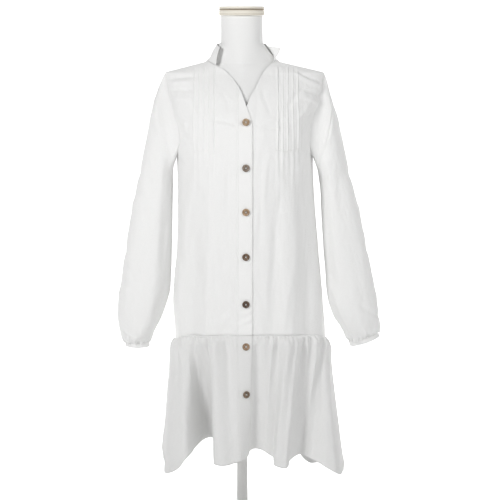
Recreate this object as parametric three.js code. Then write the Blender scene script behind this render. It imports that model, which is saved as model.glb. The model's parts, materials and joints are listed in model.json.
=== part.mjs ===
// A long-sleeved shirt dress in white cotton, on a limbless dress form with a post and a round foot.
// Millimetres, +Z up, the dress faces -Y, and the origin is on the floor under the post.
// Left and right are the viewer's, from the front. Angles run round the body from its front.

import * as THREE from "three";

const WALL = 1.4; // thickness of one layer of cloth
const SEAM = 0.4; // space between two pieces at a seam
const LAYER = 2.7; // how far the upper front stands off the lower one
const LAYER_ZONE = { before: 20, over: 14, top: 1046, fade: 40 }; // where the upper front rises over it
const BAND = { thick: 1, gap: 0.3, gapOnSkirt: 0.4 }; // the button band's own strip and the space under it

const SHOULDER_Z = 1106; // tip of the shoulder seam
const NECK_Z = 1131; // where the shoulder seam meets the collar
const UNDERARM_Z = 915;
const BACK_NECK_RISE = 8; // the back neckline is this much higher than its sides

// Horizontal sections of the bodice: middle of the section along X, half width, depths and squareness
const BODICE = [
  { z: 470, middle: 19, half: 175, front: 127, back: 122, square: 2.1 },
  { z: 520, middle: 18, half: 174.5, front: 127, back: 121, square: 2.1 },
  { z: 580, middle: 13.7, half: 173.5, front: 126, back: 119, square: 2.1 },
  { z: 640, middle: 13, half: 169, front: 126, back: 117, square: 2.1 },
  { z: 700, middle: 13, half: 163, front: 127, back: 115, square: 2.12 },
  { z: 800, middle: 10, half: 157, front: 129, back: 113, square: 2.18 },
  { z: 900, middle: 7, half: 154, front: 131, back: 115, square: 2.25 },
  { z: 950, middle: 6, half: 156, front: 129, back: 115, square: 2.3 },
  { z: 1000, middle: 6, half: 162, front: 119, back: 111, square: 2.25 },
  { z: 1050, middle: 6, half: 171, front: 97, back: 100, square: 2.12 },
  { z: 1085, middle: 6, half: 175, front: 74, back: 82, square: 1.95 },
  { z: SHOULDER_Z, middle: 6, half: 177, front: 57, back: 64, square: 1.78 },
  { z: NECK_Z, middle: 1, half: 75, front: 44, back: 58, square: 1.9 },
];

// Height of the dropped waist seam round the body, by angle from the front
const WAIST = [
  { angle: -180, z: 500 },
  { angle: -135, z: 494 },
  { angle: -90, z: 483 },
  { angle: -55, z: 518 },
  { angle: 0, z: 529 },
  { angle: 55, z: 520 },
  { angle: 90, z: 491 },
  { angle: 135, z: 497 },
  { angle: 180, z: 500 },
];

// One armhole, from the underarm up to the shoulder: share of its length, height and angle
const ARMHOLE = [
  { along: 0, z: UNDERARM_Z, angle: 90 },
  { along: 0.08, z: 918, angle: 81 },
  { along: 0.18, z: 930, angle: 72.5 },
  { along: 0.3, z: 952, angle: 67.5 },
  { along: 0.45, z: 985, angle: 68.5 },
  { along: 0.6, z: 1018, angle: 73 },
  { along: 0.75, z: 1050, angle: 79 },
  { along: 0.88, z: 1080, angle: 84.5 },
  { along: 1, z: SHOULDER_Z, angle: 90 },
];

// Front edge of each upper front, from the button band up to the collar
const NECKLINE_LEFT = [
  { x: -74, z: NECK_Z },
  { x: -63.9, z: 1124.6 },
  { x: -39.1, z: 1113 },
  { x: -23, z: 1099.1 },
  { x: -9.4, z: 1080.8 },
  { x: -0.4, z: 1064 },
  { x: 8.6, z: 1040.4 },
  { x: 19.7, z: 1010.4 },
  { x: 23.9, z: 998 },
];
const NECKLINE_RIGHT = [
  { x: -9.6, z: 991 },
  { x: 3, z: 1021 },
  { x: 11.9, z: 1038.4 },
  { x: 19.7, z: 1057.5 },
  { x: 28.7, z: 1072.2 },
  { x: 37.7, z: 1089.4 },
  { x: 46.9, z: 1106.4 },
  { x: 58.3, z: 1119.6 },
  { x: 68, z: 1127 },
  { x: 76, z: NECK_Z },
];

// Button line, button band and pin tucks
const BUTTON_LINE = 9.5;
const BAND_COLUMNS = [-9.6, -1, 7.5, 16, 23.9];
const TUCKS_FROM_BUTTONS = [69, 80, 91, 103, 114];
const TUCK = { half: 2.6, height: 1.9, top: 1112, bottom: 936, fade: 8 };

// Soft folds of the bodice: angle where each starts and ends, its height, half width and top
const BODICE_FOLDS = [
  { start: -66, foot: -64, swell: 3.5, spread: 9, top: 880 },
  { start: -42, foot: -48, swell: -5, spread: 8, top: 935 },
  { start: -31, foot: -31, swell: 5, spread: 7, top: 935 },
  { start: -19, foot: -17, swell: -2.5, spread: 6, top: 930 },
  { start: 27, foot: 15, swell: -3.5, spread: 6, top: 925 },
  { start: 38, foot: 30, swell: 5, spread: 8, top: 925 },
  { start: 50, foot: 49, swell: -3.5, spread: 7, top: 930 },
  { start: 66, foot: 68, swell: 3.5, spread: 8, top: 900 },
  { start: 115, foot: 112, swell: -4, spread: 9, top: 900 },
  { start: 140, foot: 142, swell: 5, spread: 10, top: 930 },
  { start: 166, foot: 163, swell: -4, spread: 9, top: 940 },
  { start: -168, foot: -165, swell: 5, spread: 9, top: 940 },
  { start: -146, foot: -143, swell: -4, spread: 9, top: 920 },
  { start: -118, foot: -120, swell: 4, spread: 9, top: 900 },
];
const FOLD_GROWTH = 260; // mm over which a fold grows to its full height

// Sleeves from the armhole to the cuff: outer and inner edge in the front view, half depth, y of the middle
const SLEEVE_LEFT = [
  { outX: -171, outZ: 1106, inX: -147, inZ: 915, depth: 60, y: 0 },
  { outX: -189, outZ: 1089, inX: -151, inZ: 893, depth: 60, y: 0 },
  { outX: -199, outZ: 1050, inX: -155, inZ: 868, depth: 59, y: 0 },
  { outX: -208, outZ: 1005, inX: -157, inZ: 835, depth: 57, y: -1 },
  { outX: -219, outZ: 950, inX: -157.5, inZ: 795, depth: 55, y: -3 },
  { outX: -233, outZ: 890, inX: -158, inZ: 750, depth: 54, y: -5 },
  { outX: -246, outZ: 820, inX: -159.5, inZ: 705, depth: 53, y: -8 },
  { outX: -259, outZ: 755, inX: -161, inZ: 655, depth: 53, y: -11 },
  { outX: -270, outZ: 685, inX: -163.5, inZ: 612, depth: 54, y: -14 },
  { outX: -280, outZ: 616, inX: -171, inZ: 582, depth: 55, y: -17 },
  { outX: -287, outZ: 562, inX: -183, inZ: 548, depth: 53, y: -19 },
  { outX: -285, outZ: 528, inX: -196, inZ: 522, depth: 48, y: -20 },
  { outX: -278, outZ: 506, inX: -207, inZ: 505, depth: 39, y: -21 },
  { outX: -268, outZ: 493.5, inX: -214, inZ: 492.5, depth: 27, y: -21 },
];
const SLEEVE_RIGHT = [
  { outX: 183, outZ: 1106, inX: 161, inZ: 915, depth: 60, y: 0 },
  { outX: 193, outZ: 1087, inX: 167, inZ: 893, depth: 60, y: 0 },
  { outX: 204, outZ: 1050, inX: 173, inZ: 868, depth: 59, y: 0 },
  { outX: 216, outZ: 1010, inX: 178, inZ: 835, depth: 57, y: -1 },
  { outX: 230, outZ: 948, inX: 179.5, inZ: 795, depth: 55, y: -3 },
  { outX: 246, outZ: 880, inX: 182, inZ: 750, depth: 54, y: -5 },
  { outX: 263, outZ: 815, inX: 185.5, inZ: 705, depth: 53, y: -8 },
  { outX: 279, outZ: 745, inX: 189, inZ: 655, depth: 53, y: -11 },
  { outX: 293, outZ: 680, inX: 192.5, inZ: 612, depth: 54, y: -14 },
  { outX: 305, outZ: 616, inX: 198, inZ: 582, depth: 55, y: -17 },
  { outX: 313, outZ: 568, inX: 210, inZ: 549, depth: 53, y: -19 },
  { outX: 316.5, outZ: 542, inX: 226, inZ: 522, depth: 48, y: -20 },
  { outX: 317, outZ: 526, inX: 238, inZ: 504, depth: 39, y: -21 },
  { outX: 312.5, outZ: 516, inX: 245.5, inZ: 492.5, depth: 30, y: -21 },
];
const SLEEVE_SQUARE = 2.15;
const HEAD = { blend: 0.24, reach: 150, swing: 60 }; // how the sleeve leaves the armhole
const SLEEVE_PACKING = 0.6; // rows lie closer together at both ends
const CUFF = { height: 13, flare: 1.5, waver: 0.6 };
const CUFF_GATHER = { height: 3.2, at: 0.95, spread: 0.045 };

// Long soft folds of a sleeve: place round it in turns from the underarm, height, half width
const SLEEVE_FOLDS = [
  { turn: 0.12, swell: -3, spread: 0.05 },
  { turn: 0.22, swell: 3, spread: 0.05 },
  { turn: 0.34, swell: -3, spread: 0.05 },
  { turn: 0.44, swell: 2, spread: 0.05 },
  { turn: 0.62, swell: -3, spread: 0.06 },
  { turn: 0.76, swell: 3, spread: 0.06 },
  { turn: 0.88, swell: -2.5, spread: 0.05 },
];
const SLEEVE_FOLD_REACH = { from: 0.12, growth: 0.4, to: 0.86, fade: 0.12 }; // shares of the length
const SLEEVE_FOLD_SWING = { turns: 0.04, along: 4, between: 9 };

// Stand collar: foot and top of the band at stations round the neck, left front to right front.
// A station's foot is given by its x on the front neckline or by its angle on the back one.
const COLLAR = [
  { x: -63.9, topX: -52, topY: -37, topZ: 1162 },
  { x: -70, topX: -56, topY: -20, topZ: 1166 },
  { angle: -91, topX: -58, topY: 0, topZ: 1168 },
  { angle: -112, topX: -55, topY: 22, topZ: 1169 },
  { angle: -140, topX: -37, topY: 43, topZ: 1172 },
  { angle: -180, topX: 1, topY: 53, topZ: 1175 },
  { angle: 140, topX: 38, topY: 43, topZ: 1172 },
  { angle: 112, topX: 55, topY: 22, topZ: 1168 },
  { angle: 91, topX: 57, topY: 4, topZ: 1165 },
  { x: 73, topX: 67, topY: -12, topZ: 1163 },
  { x: 68, topX: 88, topY: -22, topZ: 1159.5 },
];
const COLLAR_BOW = 2.5; // how far the band bends out half way up
const COLLAR_COLUMNS = 2; // columns of the grid for each station
const COLLAR_ROWS = 3;

// Gathered skirt: where each fold leaves the waist seam, and its place at the hem
const SKIRT = [
  { angle: -90, x: -187, y: -14, z: 215 },
  { angle: -82, x: -180, y: -66, z: 211 },
  { angle: -72, x: -173, y: -118, z: 205 },
  { angle: -64, x: -148, y: -150, z: 225 },
  { angle: -57, x: -124, y: -148, z: 250 },
  { angle: -50, x: -107, y: -103, z: 261 },
  { angle: -43, x: -86, y: -54, z: 264 },
  { angle: -36, x: -69, y: -44, z: 262 },
  { angle: -31, x: -66, y: -98, z: 254 },
  { angle: -27, x: -61, y: -156, z: 245 },
  { angle: -19, x: -36, y: -178, z: 243 },
  { angle: -8.3, x: -4, y: -166, z: 249 },
  { angle: 1.7, x: 14.5, y: -141, z: 256 },
  { angle: 8, x: 31, y: -126, z: 264 },
  { angle: 14, x: 52, y: -121, z: 257 },
  { angle: 20, x: 67, y: -134, z: 248 },
  { angle: 26, x: 74, y: -159, z: 240 },
  { angle: 33, x: 92, y: -174, z: 236 },
  { angle: 40, x: 109, y: -159, z: 238 },
  { angle: 46, x: 119, y: -128, z: 243 },
  { angle: 52, x: 135, y: -109, z: 247 },
  { angle: 59, x: 160, y: -117, z: 237 },
  { angle: 67, x: 192, y: -135, z: 223 },
  { angle: 77, x: 224, y: -124, z: 204 },
  { angle: 86, x: 238, y: -62, z: 202 },
  { angle: 90, x: 237, y: -22, z: 203 },
  { angle: 100, x: 229, y: 40, z: 190 },
  { angle: 112, x: 206, y: 84, z: 172 },
  { angle: 124, x: 166, y: 88, z: 158 },
  { angle: 136, x: 132, y: 138, z: 176 },
  { angle: 147, x: 96, y: 166, z: 200 },
  { angle: 158, x: 60, y: 138, z: 214 },
  { angle: 168, x: 28, y: 128, z: 220 },
  { angle: 180, x: -5, y: 158, z: 221 },
  { angle: 190, x: -40, y: 170, z: 222 },
  { angle: 201, x: -75, y: 141, z: 222 },
  { angle: 213, x: -106, y: 120, z: 222 },
  { angle: 225, x: -136, y: 136, z: 221 },
  { angle: 237, x: -166, y: 126, z: 219 },
  { angle: 249, x: -187, y: 84, z: 217 },
  { angle: 260, x: -192, y: 34, z: 216 },
];
const SKIRT_AT = { bandLeft: 11, bandRight: 12, rightSeam: 25 }; // rows of that table
const SKIRT_PUFF = { out: 8, depth: 0.08 }; // the gathers push the cloth out just under the seam
const SKIRT_GATHER = { height: 2.3, rise: 0.03, fade: 0.3 };
const SKIRT_ROWS = 8;
const SKIRT_PACKING = 1.5; // rows lie closer together under the gathers
const SKIRT_COLUMNS = 3; // columns of the grid for each row of the skirt's table

const ROWS = 18; // rows of the bodice's grids, from the waist to the shoulder
const UNDERARM_ROW = 9;
const TOP_PACKING = 1.5; // rows lie closer together towards the shoulder
const ARMHOLE_PACKING = 1.2; // and towards the top of the armhole
const PLAIN_COLUMNS = 4; // columns between the button band and the first tuck
const SIDE_COLUMNS = 6; // columns between a panel's inner part and its side edge
const BACK_COLUMNS = [0, 0.2, 0.4, 0.6, 0.8, 1, 1.22, 1.45]; // in half widths of the neck
const SLEEVE_ROWS = 17;
const SLEEVE_COLUMNS = 2 * (ROWS - UNDERARM_ROW);

const BUTTON_HEIGHTS = [1001, 904, 807, 707, 600];
const SKIRT_BUTTON_HEIGHTS = [505, 398];
const BUTTON = { radius: 8.2, thick: 3, edge: 1.2, rim: 1.4, dish: 0.7, segments: 12 };
const BUTTON_OFF_BAND = { bodice: 0.6, skirt: 0.9 }; // space for the thread behind a button
const BUTTON_AT_BAND = 0.58; // share of the band's width, on the skirt
const TOP_BUTTON = { tilt: 0.42, turn: 0.5, lift: 2.9 };

// Horizontal sections of the dress form under the dress
const FORM = [
  { z: 520, half: 136, front: 88, back: 92, square: 2.1 },
  { z: 524, half: 140, front: 92, back: 96, square: 2.1 },
  { z: 560, half: 144, front: 96, back: 100, square: 2.1 },
  { z: 640, half: 146, front: 98, back: 104, square: 2.1 },
  { z: 720, half: 131, front: 92, back: 96, square: 2.05 },
  { z: 790, half: 116, front: 87, back: 84, square: 2 },
  { z: 860, half: 124, front: 95, back: 88, square: 2.05 },
  { z: 915, half: 136, front: 113, back: 98, square: 2.15 },
  { z: 950, half: 141, front: 119, back: 104, square: 2.2 },
  { z: 1000, half: 149, front: 107, back: 103, square: 2.15 },
  { z: 1050, half: 159, front: 88, back: 92, square: 2.05 },
  { z: 1080, half: 163, front: 70, back: 77, square: 1.95 },
];
const FORM_FOLLOWS = 0.4; // share of the bodice's sideways shift that the form takes

// The form's shoulders: share of the way from the tip to the neck, and how far inside the cloth's depth
const FORM_SHOULDER = [
  { share: 0.18, inset: 13 },
  { share: 0.4, inset: 12 },
  { share: 0.6, inset: 11 },
  { share: 0.8, inset: 10 },
  { share: 1, inset: 9 },
];
const FORM_SHOULDER_SQUARE = 1.1;
const FORM_UNDER_CLOTH = 0.8; // space between the form's shoulder ridge and the cloth
const FORM_NECK = [
  { z: 1150, half: 53, front: 46, back: 47, square: 2 },
  { z: 1168, half: 47.5, front: 45, back: 46, square: 2 },
  { z: 1200, half: 46.8, front: 45, back: 45, square: 2 },
  { z: 1230.6, half: 46.8, front: 45, back: 45, square: 2 },
];
const FORM_COLUMNS = 28;
const CAP = { bottom: 1231, groove: 1242.5, grooveTop: 1245.5, top: 1251, radius: 50.5, waist: 47.5 };
const CAP_EDGE = 1; // rounding of the cap's edges
const POST = { radius: 12.5, collar: 21, collarHeight: 18, slope: 3, gap: 0.3 };
const FOOT = { radius: 150, thick: 14, edge: 4, hub: 26, hubTop: 22, hubHeight: 22, rounding: 1 };

const RADIAN = Math.PI / 180;
const mix = (a, b, t) => a + (b - a) * t;
const clamp01 = (t) => Math.min(1, Math.max(0, t));
const ease = (t) => clamp01(t) ** 2 * (3 - 2 * clamp01(t));
const bump = (distance, spread) => Math.exp(-((distance / spread) ** 2));
const power = (value, exponent) => Math.sign(value) * Math.abs(value) ** exponent;

// Slope of a table's column at one row, zero where the column turns, so that the curve never overshoots
function slopeAt(table, key, column, i) {
  const rise = (k) =>
    (table[k + 1][column] - table[k][column]) / (table[k + 1][key] - table[k][key]);
  if (i === 0) return rise(0);
  if (i === table.length - 1) return rise(i - 1);
  const before = rise(i - 1);
  const after = rise(i);
  return before * after <= 0 ? 0 : (2 * before * after) / (before + after);
}

// Smooth value of a table's column where its key column has the given value
function lookUp(table, key, column, at) {
  let i = 0;
  while (i < table.length - 2 && at > table[i + 1][key]) i += 1;
  const span = table[i + 1][key] - table[i][key];
  const t = clamp01((at - table[i][key]) / span);
  const a = table[i][column];
  const b = table[i + 1][column];
  const slopeA = slopeAt(table, key, column, i) * span;
  const slopeB = slopeAt(table, key, column, i + 1) * span;
  const hermite = (2 * t - 3) * t * t;
  return a * (1 + hermite) - b * hermite + slopeA * t * (1 - t) ** 2 - slopeB * t * t * (1 - t);
}

// Catmull-Rom value of a table's column at a row number with a fraction
function along(table, column, position, closed) {
  const count = table.length;
  const last = closed ? count : count - 1;
  const i = Math.min(Math.floor(position), last - 1);
  const t = position - i;
  const at = (k) => {
    const row = closed ? ((k % count) + count) % count : Math.min(count - 1, Math.max(0, k));
    const wrap = closed && column === "angle" ? 360 * Math.floor(k / count) : 0;
    return table[row][column] + wrap;
  };
  const [p, a, b, q] = [at(i - 1), at(i), at(i + 1), at(i + 2)];
  return a + 0.5 * t * (b - p + t * (2 * p - 5 * a + 4 * b - q + t * (3 * (a - b) + q - p)));
}

// Closed solid between an outer and an inner grid of points, given as rows of vectors
function wallGeometry(outer, inner, closedRound) {
  const rows = outer.length;
  const columns = outer[0].length;
  const points = [...outer.flat(), ...inner.flat()];
  const innerStart = rows * columns;
  const faces = [];
  const quad = (a, b, c, d) => faces.push(a, b, c, a, c, d);
  const at = (j, i) => j * columns + (i % columns);
  const cells = closedRound ? columns : columns - 1;
  for (let j = 0; j < rows - 1; j += 1) {
    for (let i = 0; i < cells; i += 1) {
      const [a, b, c, d] = [at(j, i), at(j, i + 1), at(j + 1, i + 1), at(j + 1, i)];
      quad(a, b, c, d);
      quad(innerStart + a, innerStart + d, innerStart + c, innerStart + b);
    }
  }
  const rim = (a, b) => quad(b, a, innerStart + a, innerStart + b);
  for (let i = 0; i < cells; i += 1) {
    rim(at(0, i), at(0, i + 1));
    rim(at(rows - 1, i + 1), at(rows - 1, i));
  }
  for (let j = 0; !closedRound && j < rows - 1; j += 1) {
    rim(at(j + 1, 0), at(j, 0));
    rim(at(j, columns - 1), at(j + 1, columns - 1));
  }
  return facingOut(points, faces);
}

// Indexed geometry with its faces turned to point out
function facingOut(points, faces) {
  let volume = 0;
  for (let k = 0; k < faces.length; k += 3) {
    const [a, b, c] = [points[faces[k]], points[faces[k + 1]], points[faces[k + 2]]];
    volume += a.dot(b.clone().cross(c)) / 6;
  }
  const turned = volume < 0 ? faces.toReversed() : faces;
  const geometry = new THREE.BufferGeometry().setFromPoints(points);
  geometry.setIndex(turned);
  geometry.computeVertexNormals();
  return geometry;
}

// Unit normal of a surface given as a function of two parameters
function normalOf(surface, u, v, stepU, stepV) {
  const acrossU = surface(u + stepU, v).sub(surface(u - stepU, v));
  const acrossV = surface(u, v + stepV).sub(surface(u, v - stepV));
  return acrossU.cross(acrossV).normalize();
}

// A point moved along a direction
const moved = (point, direction, distance) => point.clone().addScaledVector(direction, distance);

// Signed angle in (-180, 180]
const wrapped = (angle) => angle - 360 * Math.ceil((angle - 180) / 360);

// Height of the waist seam at an angle
const waistHeight = (angle) => lookUp(WAIST, "angle", "z", wrapped(angle));

// Half width of the bodice, straight along the shoulder seam
function bodiceHalf(z) {
  const t = (z - SHOULDER_Z) / (NECK_Z - SHOULDER_Z);
  const [shoulder, neck] = BODICE.slice(-2);
  return t > 0 ? mix(shoulder.half, neck.half, t) : lookUp(BODICE, "z", "half", z);
}

// Sideways middle of the bodice, straight along the shoulder seam too
function bodiceMiddle(z) {
  const t = (z - SHOULDER_Z) / (NECK_Z - SHOULDER_Z);
  const [shoulder, neck] = BODICE.slice(-2);
  return t > 0 ? mix(shoulder.middle, neck.middle, t) : lookUp(BODICE, "z", "middle", z);
}

// Point of a horizontal section with rounded corners
function ringPoint(angle, z, middle, half, front, back, square) {
  const sine = Math.sin(angle * RADIAN);
  const cosine = Math.cos(angle * RADIAN);
  const depth = cosine > 0 ? front : back;
  const x = middle + half * power(sine, 2 / square);
  const y = -depth * power(cosine, 2 / square);
  return new THREE.Vector3(x, Math.abs(y) < 1e-6 ? 0 : y, z);
}

// The bodice without folds
function smoothBodice(angle, z) {
  const value = (column) => lookUp(BODICE, "z", column, z);
  const depths = [value("front"), value("back")];
  return ringPoint(angle, z, bodiceMiddle(z), bodiceHalf(z), ...depths, value("square"));
}

// How far the folds lift the cloth off the plain bodice
function foldLift(angle, z) {
  let lift = 0;
  for (const fold of BODICE_FOLDS) {
    const down = ease((fold.top - z) / FOLD_GROWTH);
    const line = mix(fold.start, fold.foot, clamp01((fold.top - z) / (fold.top - 500)));
    lift += fold.swell * down * bump(wrapped(angle - line), fold.spread);
  }
  return lift;
}

// Whether an angle is the side and shoulder seams' own
const onSeam = (angle) => Math.abs(Math.abs(wrapped(angle)) - 90) < 1e-3;

// Outward direction of the bodice; at the side and shoulder seams it has no part along Y
function bodiceNormal(angle, z) {
  const normal = normalOf(smoothBodice, angle, z, 1, 2).negate();
  const side = smoothBodice(angle, z);
  if (normal.dot(new THREE.Vector3(side.x, side.y, 0)) < 0 && Math.abs(normal.z) < 0.7) normal.negate();
  if (normal.z < -0.5) normal.negate();
  if (onSeam(angle)) normal.setY(0).normalize();
  return normal;
}

// Point of the folded bodice, moved out by a lift
const bodicePoint = (angle, z, lift = 0) =>
  moved(smoothBodice(angle, z), bodiceNormal(angle, z), foldLift(angle, z) + lift);

// Angle at which the section at a height passes a given x, on the front
function angleOfX(x, z) {
  const across = (x - bodiceMiddle(z)) / bodiceHalf(z);
  const square = lookUp(BODICE, "z", "square", z);
  return Math.asin(Math.max(-1, Math.min(1, power(across, square / 2)))) / RADIAN;
}

// Height of the shoulder seam above a given x, on the left (side -1) or right (side 1)
function shoulderHeight(x, side) {
  const [tip, neck] = BODICE.slice(-2);
  const tipX = tip.middle + side * tip.half;
  const neckX = neck.middle + side * neck.half;
  return mix(NECK_Z, SHOULDER_Z, clamp01((x - neckX) / (tipX - neckX)));
}

// Upper edge of a front panel above a given x
function frontTop(x, side) {
  const table = side < 0 ? NECKLINE_LEFT : NECKLINE_RIGHT;
  const neckX = side < 0 ? table[0].x : table.at(-1).x;
  return side * (x - neckX) >= 0 ? shoulderHeight(x, side) : lookUp(table, "x", "z", x);
}

// Upper edge of the back panel above a given x
function backTop(x, side) {
  const neck = BODICE.at(-1);
  const across = (x - neck.middle) / neck.half;
  if (Math.abs(across) >= 1) return shoulderHeight(x, side);
  return NECK_Z + BACK_NECK_RISE * (1 - across ** 2);
}

// Share of a panel's height reached by a row
const rowShare = (row) => 1 - (1 - row / ROWS) ** TOP_PACKING;

// Side edge of a half panel at a row: side seam below the underarm, armhole above
function sideEdge(row, side) {
  if (row <= UNDERARM_ROW) {
    const share = rowShare(row) / rowShare(UNDERARM_ROW);
    return { angle: 90, z: mix(waistHeight(side * 90), UNDERARM_Z, share) };
  }
  const share = (row - UNDERARM_ROW) / (ROWS - UNDERARM_ROW);
  return armholeAt(share);
}

// Angle and height of the armhole at a share of the way from the underarm to the shoulder
function armholeAt(share) {
  const packed = 1 - (1 - share) ** ARMHOLE_PACKING;
  return {
    angle: lookUp(ARMHOLE, "along", "angle", packed),
    z: lookUp(ARMHOLE, "along", "z", packed),
  };
}

// Where a column of constant x is at a row, as angle and height
function columnAt(x, row, top, onBack) {
  let z = top;
  let angle = 0;
  for (let pass = 0; pass < 4; pass += 1) {
    angle = angleOfX(x, Math.min(z, NECK_Z));
    if (onBack) angle = wrapped(180 - angle);
    z = mix(waistHeight(angle), top, rowShare(row));
  }
  return { angle, z };
}

// Places of one row of a half panel, from its inner edge to its side edge
function halfRow(row, side, columns, topOf, onBack) {
  const places = columns.map((x) => columnAt(x, row, topOf(x, side), onBack));
  const start = places.at(-1);
  const edge = sideEdge(row, side);
  const from = Math.abs(onBack ? wrapped(180 - start.angle) : start.angle);
  for (let k = 1; k <= SIDE_COLUMNS; k += 1) {
    const share = k / SIDE_COLUMNS;
    const size = mix(from, edge.angle, share);
    const angle = side * (onBack ? 180 - size : size);
    places.push({ angle, z: mix(start.z, edge.z, share) });
  }
  return places;
}

// Columns of x of a front panel: band, then plain cloth, then three for each tuck
function frontColumns(side) {
  const band = side < 0 ? BAND_COLUMNS.toReversed() : BAND_COLUMNS;
  const first = BUTTON_LINE + side * (TUCKS_FROM_BUTTONS[0] - TUCK.half);
  const plain = [];
  for (let k = 1; k < PLAIN_COLUMNS; k += 1) plain.push(mix(band.at(-1), first, k / PLAIN_COLUMNS));
  const tucks = TUCKS_FROM_BUTTONS.flatMap((from) =>
    [-TUCK.half, 0, TUCK.half].map((off) => BUTTON_LINE + side * (from + off)),
  );
  return [...band, ...plain, ...tucks];
}

// Height of the pin tucks over the panel at a point
function tuckLift(x, z) {
  const within = ease((z - TUCK.bottom) / TUCK.fade) * ease((TUCK.top + TUCK.fade - z) / TUCK.fade);
  const nearest = Math.min(
    ...TUCKS_FROM_BUTTONS.map((from) => Math.abs(Math.abs(x - BUTTON_LINE) - from)),
  );
  return TUCK.height * within * clamp01(1 - nearest / TUCK.half);
}

// The left front lies on the right one at the button band
function layerLift(x, z) {
  const { before, over, top, fade } = LAYER_ZONE;
  return LAYER * ease((x - BAND_COLUMNS[0] + before) / over) * (1 - ease((z - top) / fade));
}

// Moves a point on a side or shoulder seam off the seam line, by half the seam's space
function offSeam(point, angle, onBack) {
  if (onSeam(angle)) point.y += (onBack ? 0.5 : -0.5) * SEAM;
  return point;
}

// One front with its pin tucks, from the button band to the side seam
function frontPanel(side) {
  const columns = frontColumns(side);
  const outer = [];
  const inner = [];
  for (let row = 0; row <= ROWS; row += 1) {
    const places = halfRow(row, side, columns, frontTop, false);
    const layer = places.map(({ angle, z }) =>
      side < 0 ? layerLift(smoothBodice(angle, z).x, z) : 0,
    );
    const base = places.map(({ angle, z }, i) => bodicePoint(angle, z, layer[i]));
    const outward = places.map(({ angle, z }) => bodiceNormal(angle, z));
    outer.push(
      base.map((point, i) => {
        const raised = i < columns.length ? tuckLift(columns[i], places[i].z) : 0;
        return offSeam(moved(point, outward[i], raised), places[i].angle, false);
      }),
    );
    inner.push(base.map((point, i) => offSeam(moved(point, outward[i], -WALL), places[i].angle, false)));
  }
  return wallGeometry(outer, inner, false);
}

// Places of one row of the back panel, from the left side seam to the right one
function backPlaces(row) {
  const neck = BODICE.at(-1);
  const half = (side) => {
    const columns = BACK_COLUMNS.map((share) => neck.middle + side * share * neck.half);
    return halfRow(row, side, columns, backTop, true);
  };
  return [...half(-1).toReversed(), ...half(1).slice(1)];
}

// The back in one piece, from side seam to side seam
function backPanel() {
  const outer = [];
  const inner = [];
  for (let row = 0; row <= ROWS; row += 1) {
    const places = backPlaces(row);
    outer.push(places.map(({ angle, z }) => offSeam(bodicePoint(angle, z), angle, true)));
    inner.push(places.map(({ angle, z }) => offSeam(bodicePoint(angle, z, -WALL), angle, true)));
  }
  return wallGeometry(outer, inner, false);
}

// The strip of cloth that carries the buttons, on the left front
function buttonBand() {
  const outer = [];
  const inner = [];
  for (let row = 0; row <= ROWS; row += 1) {
    const places = BAND_COLUMNS.map((x) => columnAt(x, row, frontTop(x, -1), false));
    const strip = (lift) => places.map(({ angle, z }) => bodicePoint(angle, z, LAYER + lift));
    outer.push(strip(BAND.gap + BAND.thick));
    inner.push(strip(BAND.gap));
  }
  return wallGeometry(outer, inner, false);
}

// Foot of the collar at a station, on the neck edge of the bodice
function collarFoot(station) {
  if (station.angle === undefined) {
    const z = frontTop(station.x, Math.sign(station.x));
    return bodicePoint(angleOfX(station.x, z), z);
  }
  const neck = BODICE.at(-1);
  const rise = BACK_NECK_RISE * Math.max(0, -Math.cos(station.angle * RADIAN)) ** 2;
  const sizes = [neck.middle, neck.half, neck.front, neck.back, neck.square];
  return ringPoint(station.angle, NECK_Z + rise, ...sizes);
}

// The standing band round the neck, its right front end folded out to a point
function collar() {
  const stations = COLLAR.map((station) => {
    const foot = collarFoot(station);
    const { topX, topY, topZ } = station;
    return { footX: foot.x, footY: foot.y, footZ: foot.z + SEAM, topX, topY, topZ };
  });
  const surface = (u, v) => {
    const position = Math.min(Math.max(u, 0), stations.length - 1);
    const value = (name) => along(stations, name, position, false);
    const bow = COLLAR_BOW * Math.sin(Math.PI * clamp01(v));
    const foot = new THREE.Vector3(value("footX"), value("footY"), value("footZ"));
    const top = new THREE.Vector3(value("topX"), value("topY"), value("topZ"));
    const out = foot.clone().setZ(0).normalize();
    return foot.lerp(top, v).addScaledVector(out, bow);
  };
  const columns = (stations.length - 1) * COLLAR_COLUMNS;
  const [stepU, stepV] = [0.2, 0.1];
  const within = (value, step, last) => Math.min(Math.max(value, step), last - step);
  const outer = [];
  const inner = [];
  for (let j = 0; j <= COLLAR_ROWS; j += 1) {
    outer.push([]);
    inner.push([]);
    for (let i = 0; i <= columns; i += 1) {
      const [u, v] = [i / COLLAR_COLUMNS, j / COLLAR_ROWS];
      const point = surface(u, v);
      const here = within(u, stepU, stations.length - 1);
      const normal = normalOf(surface, here, within(v, stepV, 1), stepU, stepV);
      if (j === 0) normal.setZ(0).normalize();
      outer[j].push(point);
      inner[j].push(moved(point, normal, WALL));
    }
  }
  return wallGeometry(outer, inner, false);
}

// Place of one armhole point on the bodice: turns run from the underarm up the front and down the back
function armholePlace(turn, side) {
  const onBack = turn > 0.5;
  const { angle, z } = armholeAt(onBack ? 2 - 2 * turn : 2 * turn);
  return { angle: side * (onBack ? 180 - angle : angle), z };
}

const sleeveTable = (side) => (side < 0 ? SLEEVE_LEFT : SLEEVE_RIGHT);

// Plain section of a sleeve, an oval between its outer and inner edges
function sleeveOval(table, turn, share) {
  const position = share * (table.length - 1);
  const value = (column) => along(table, column, position, false);
  const across = 0.5 - 0.5 * power(Math.cos(2 * Math.PI * turn), 2 / SLEEVE_SQUARE);
  const round = power(Math.sin(2 * Math.PI * turn), 2 / SLEEVE_SQUARE);
  return new THREE.Vector3(
    mix(value("inX"), value("outX"), across),
    value("y") - value("depth") * round,
    mix(value("inZ"), value("outZ"), across),
  );
}

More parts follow.
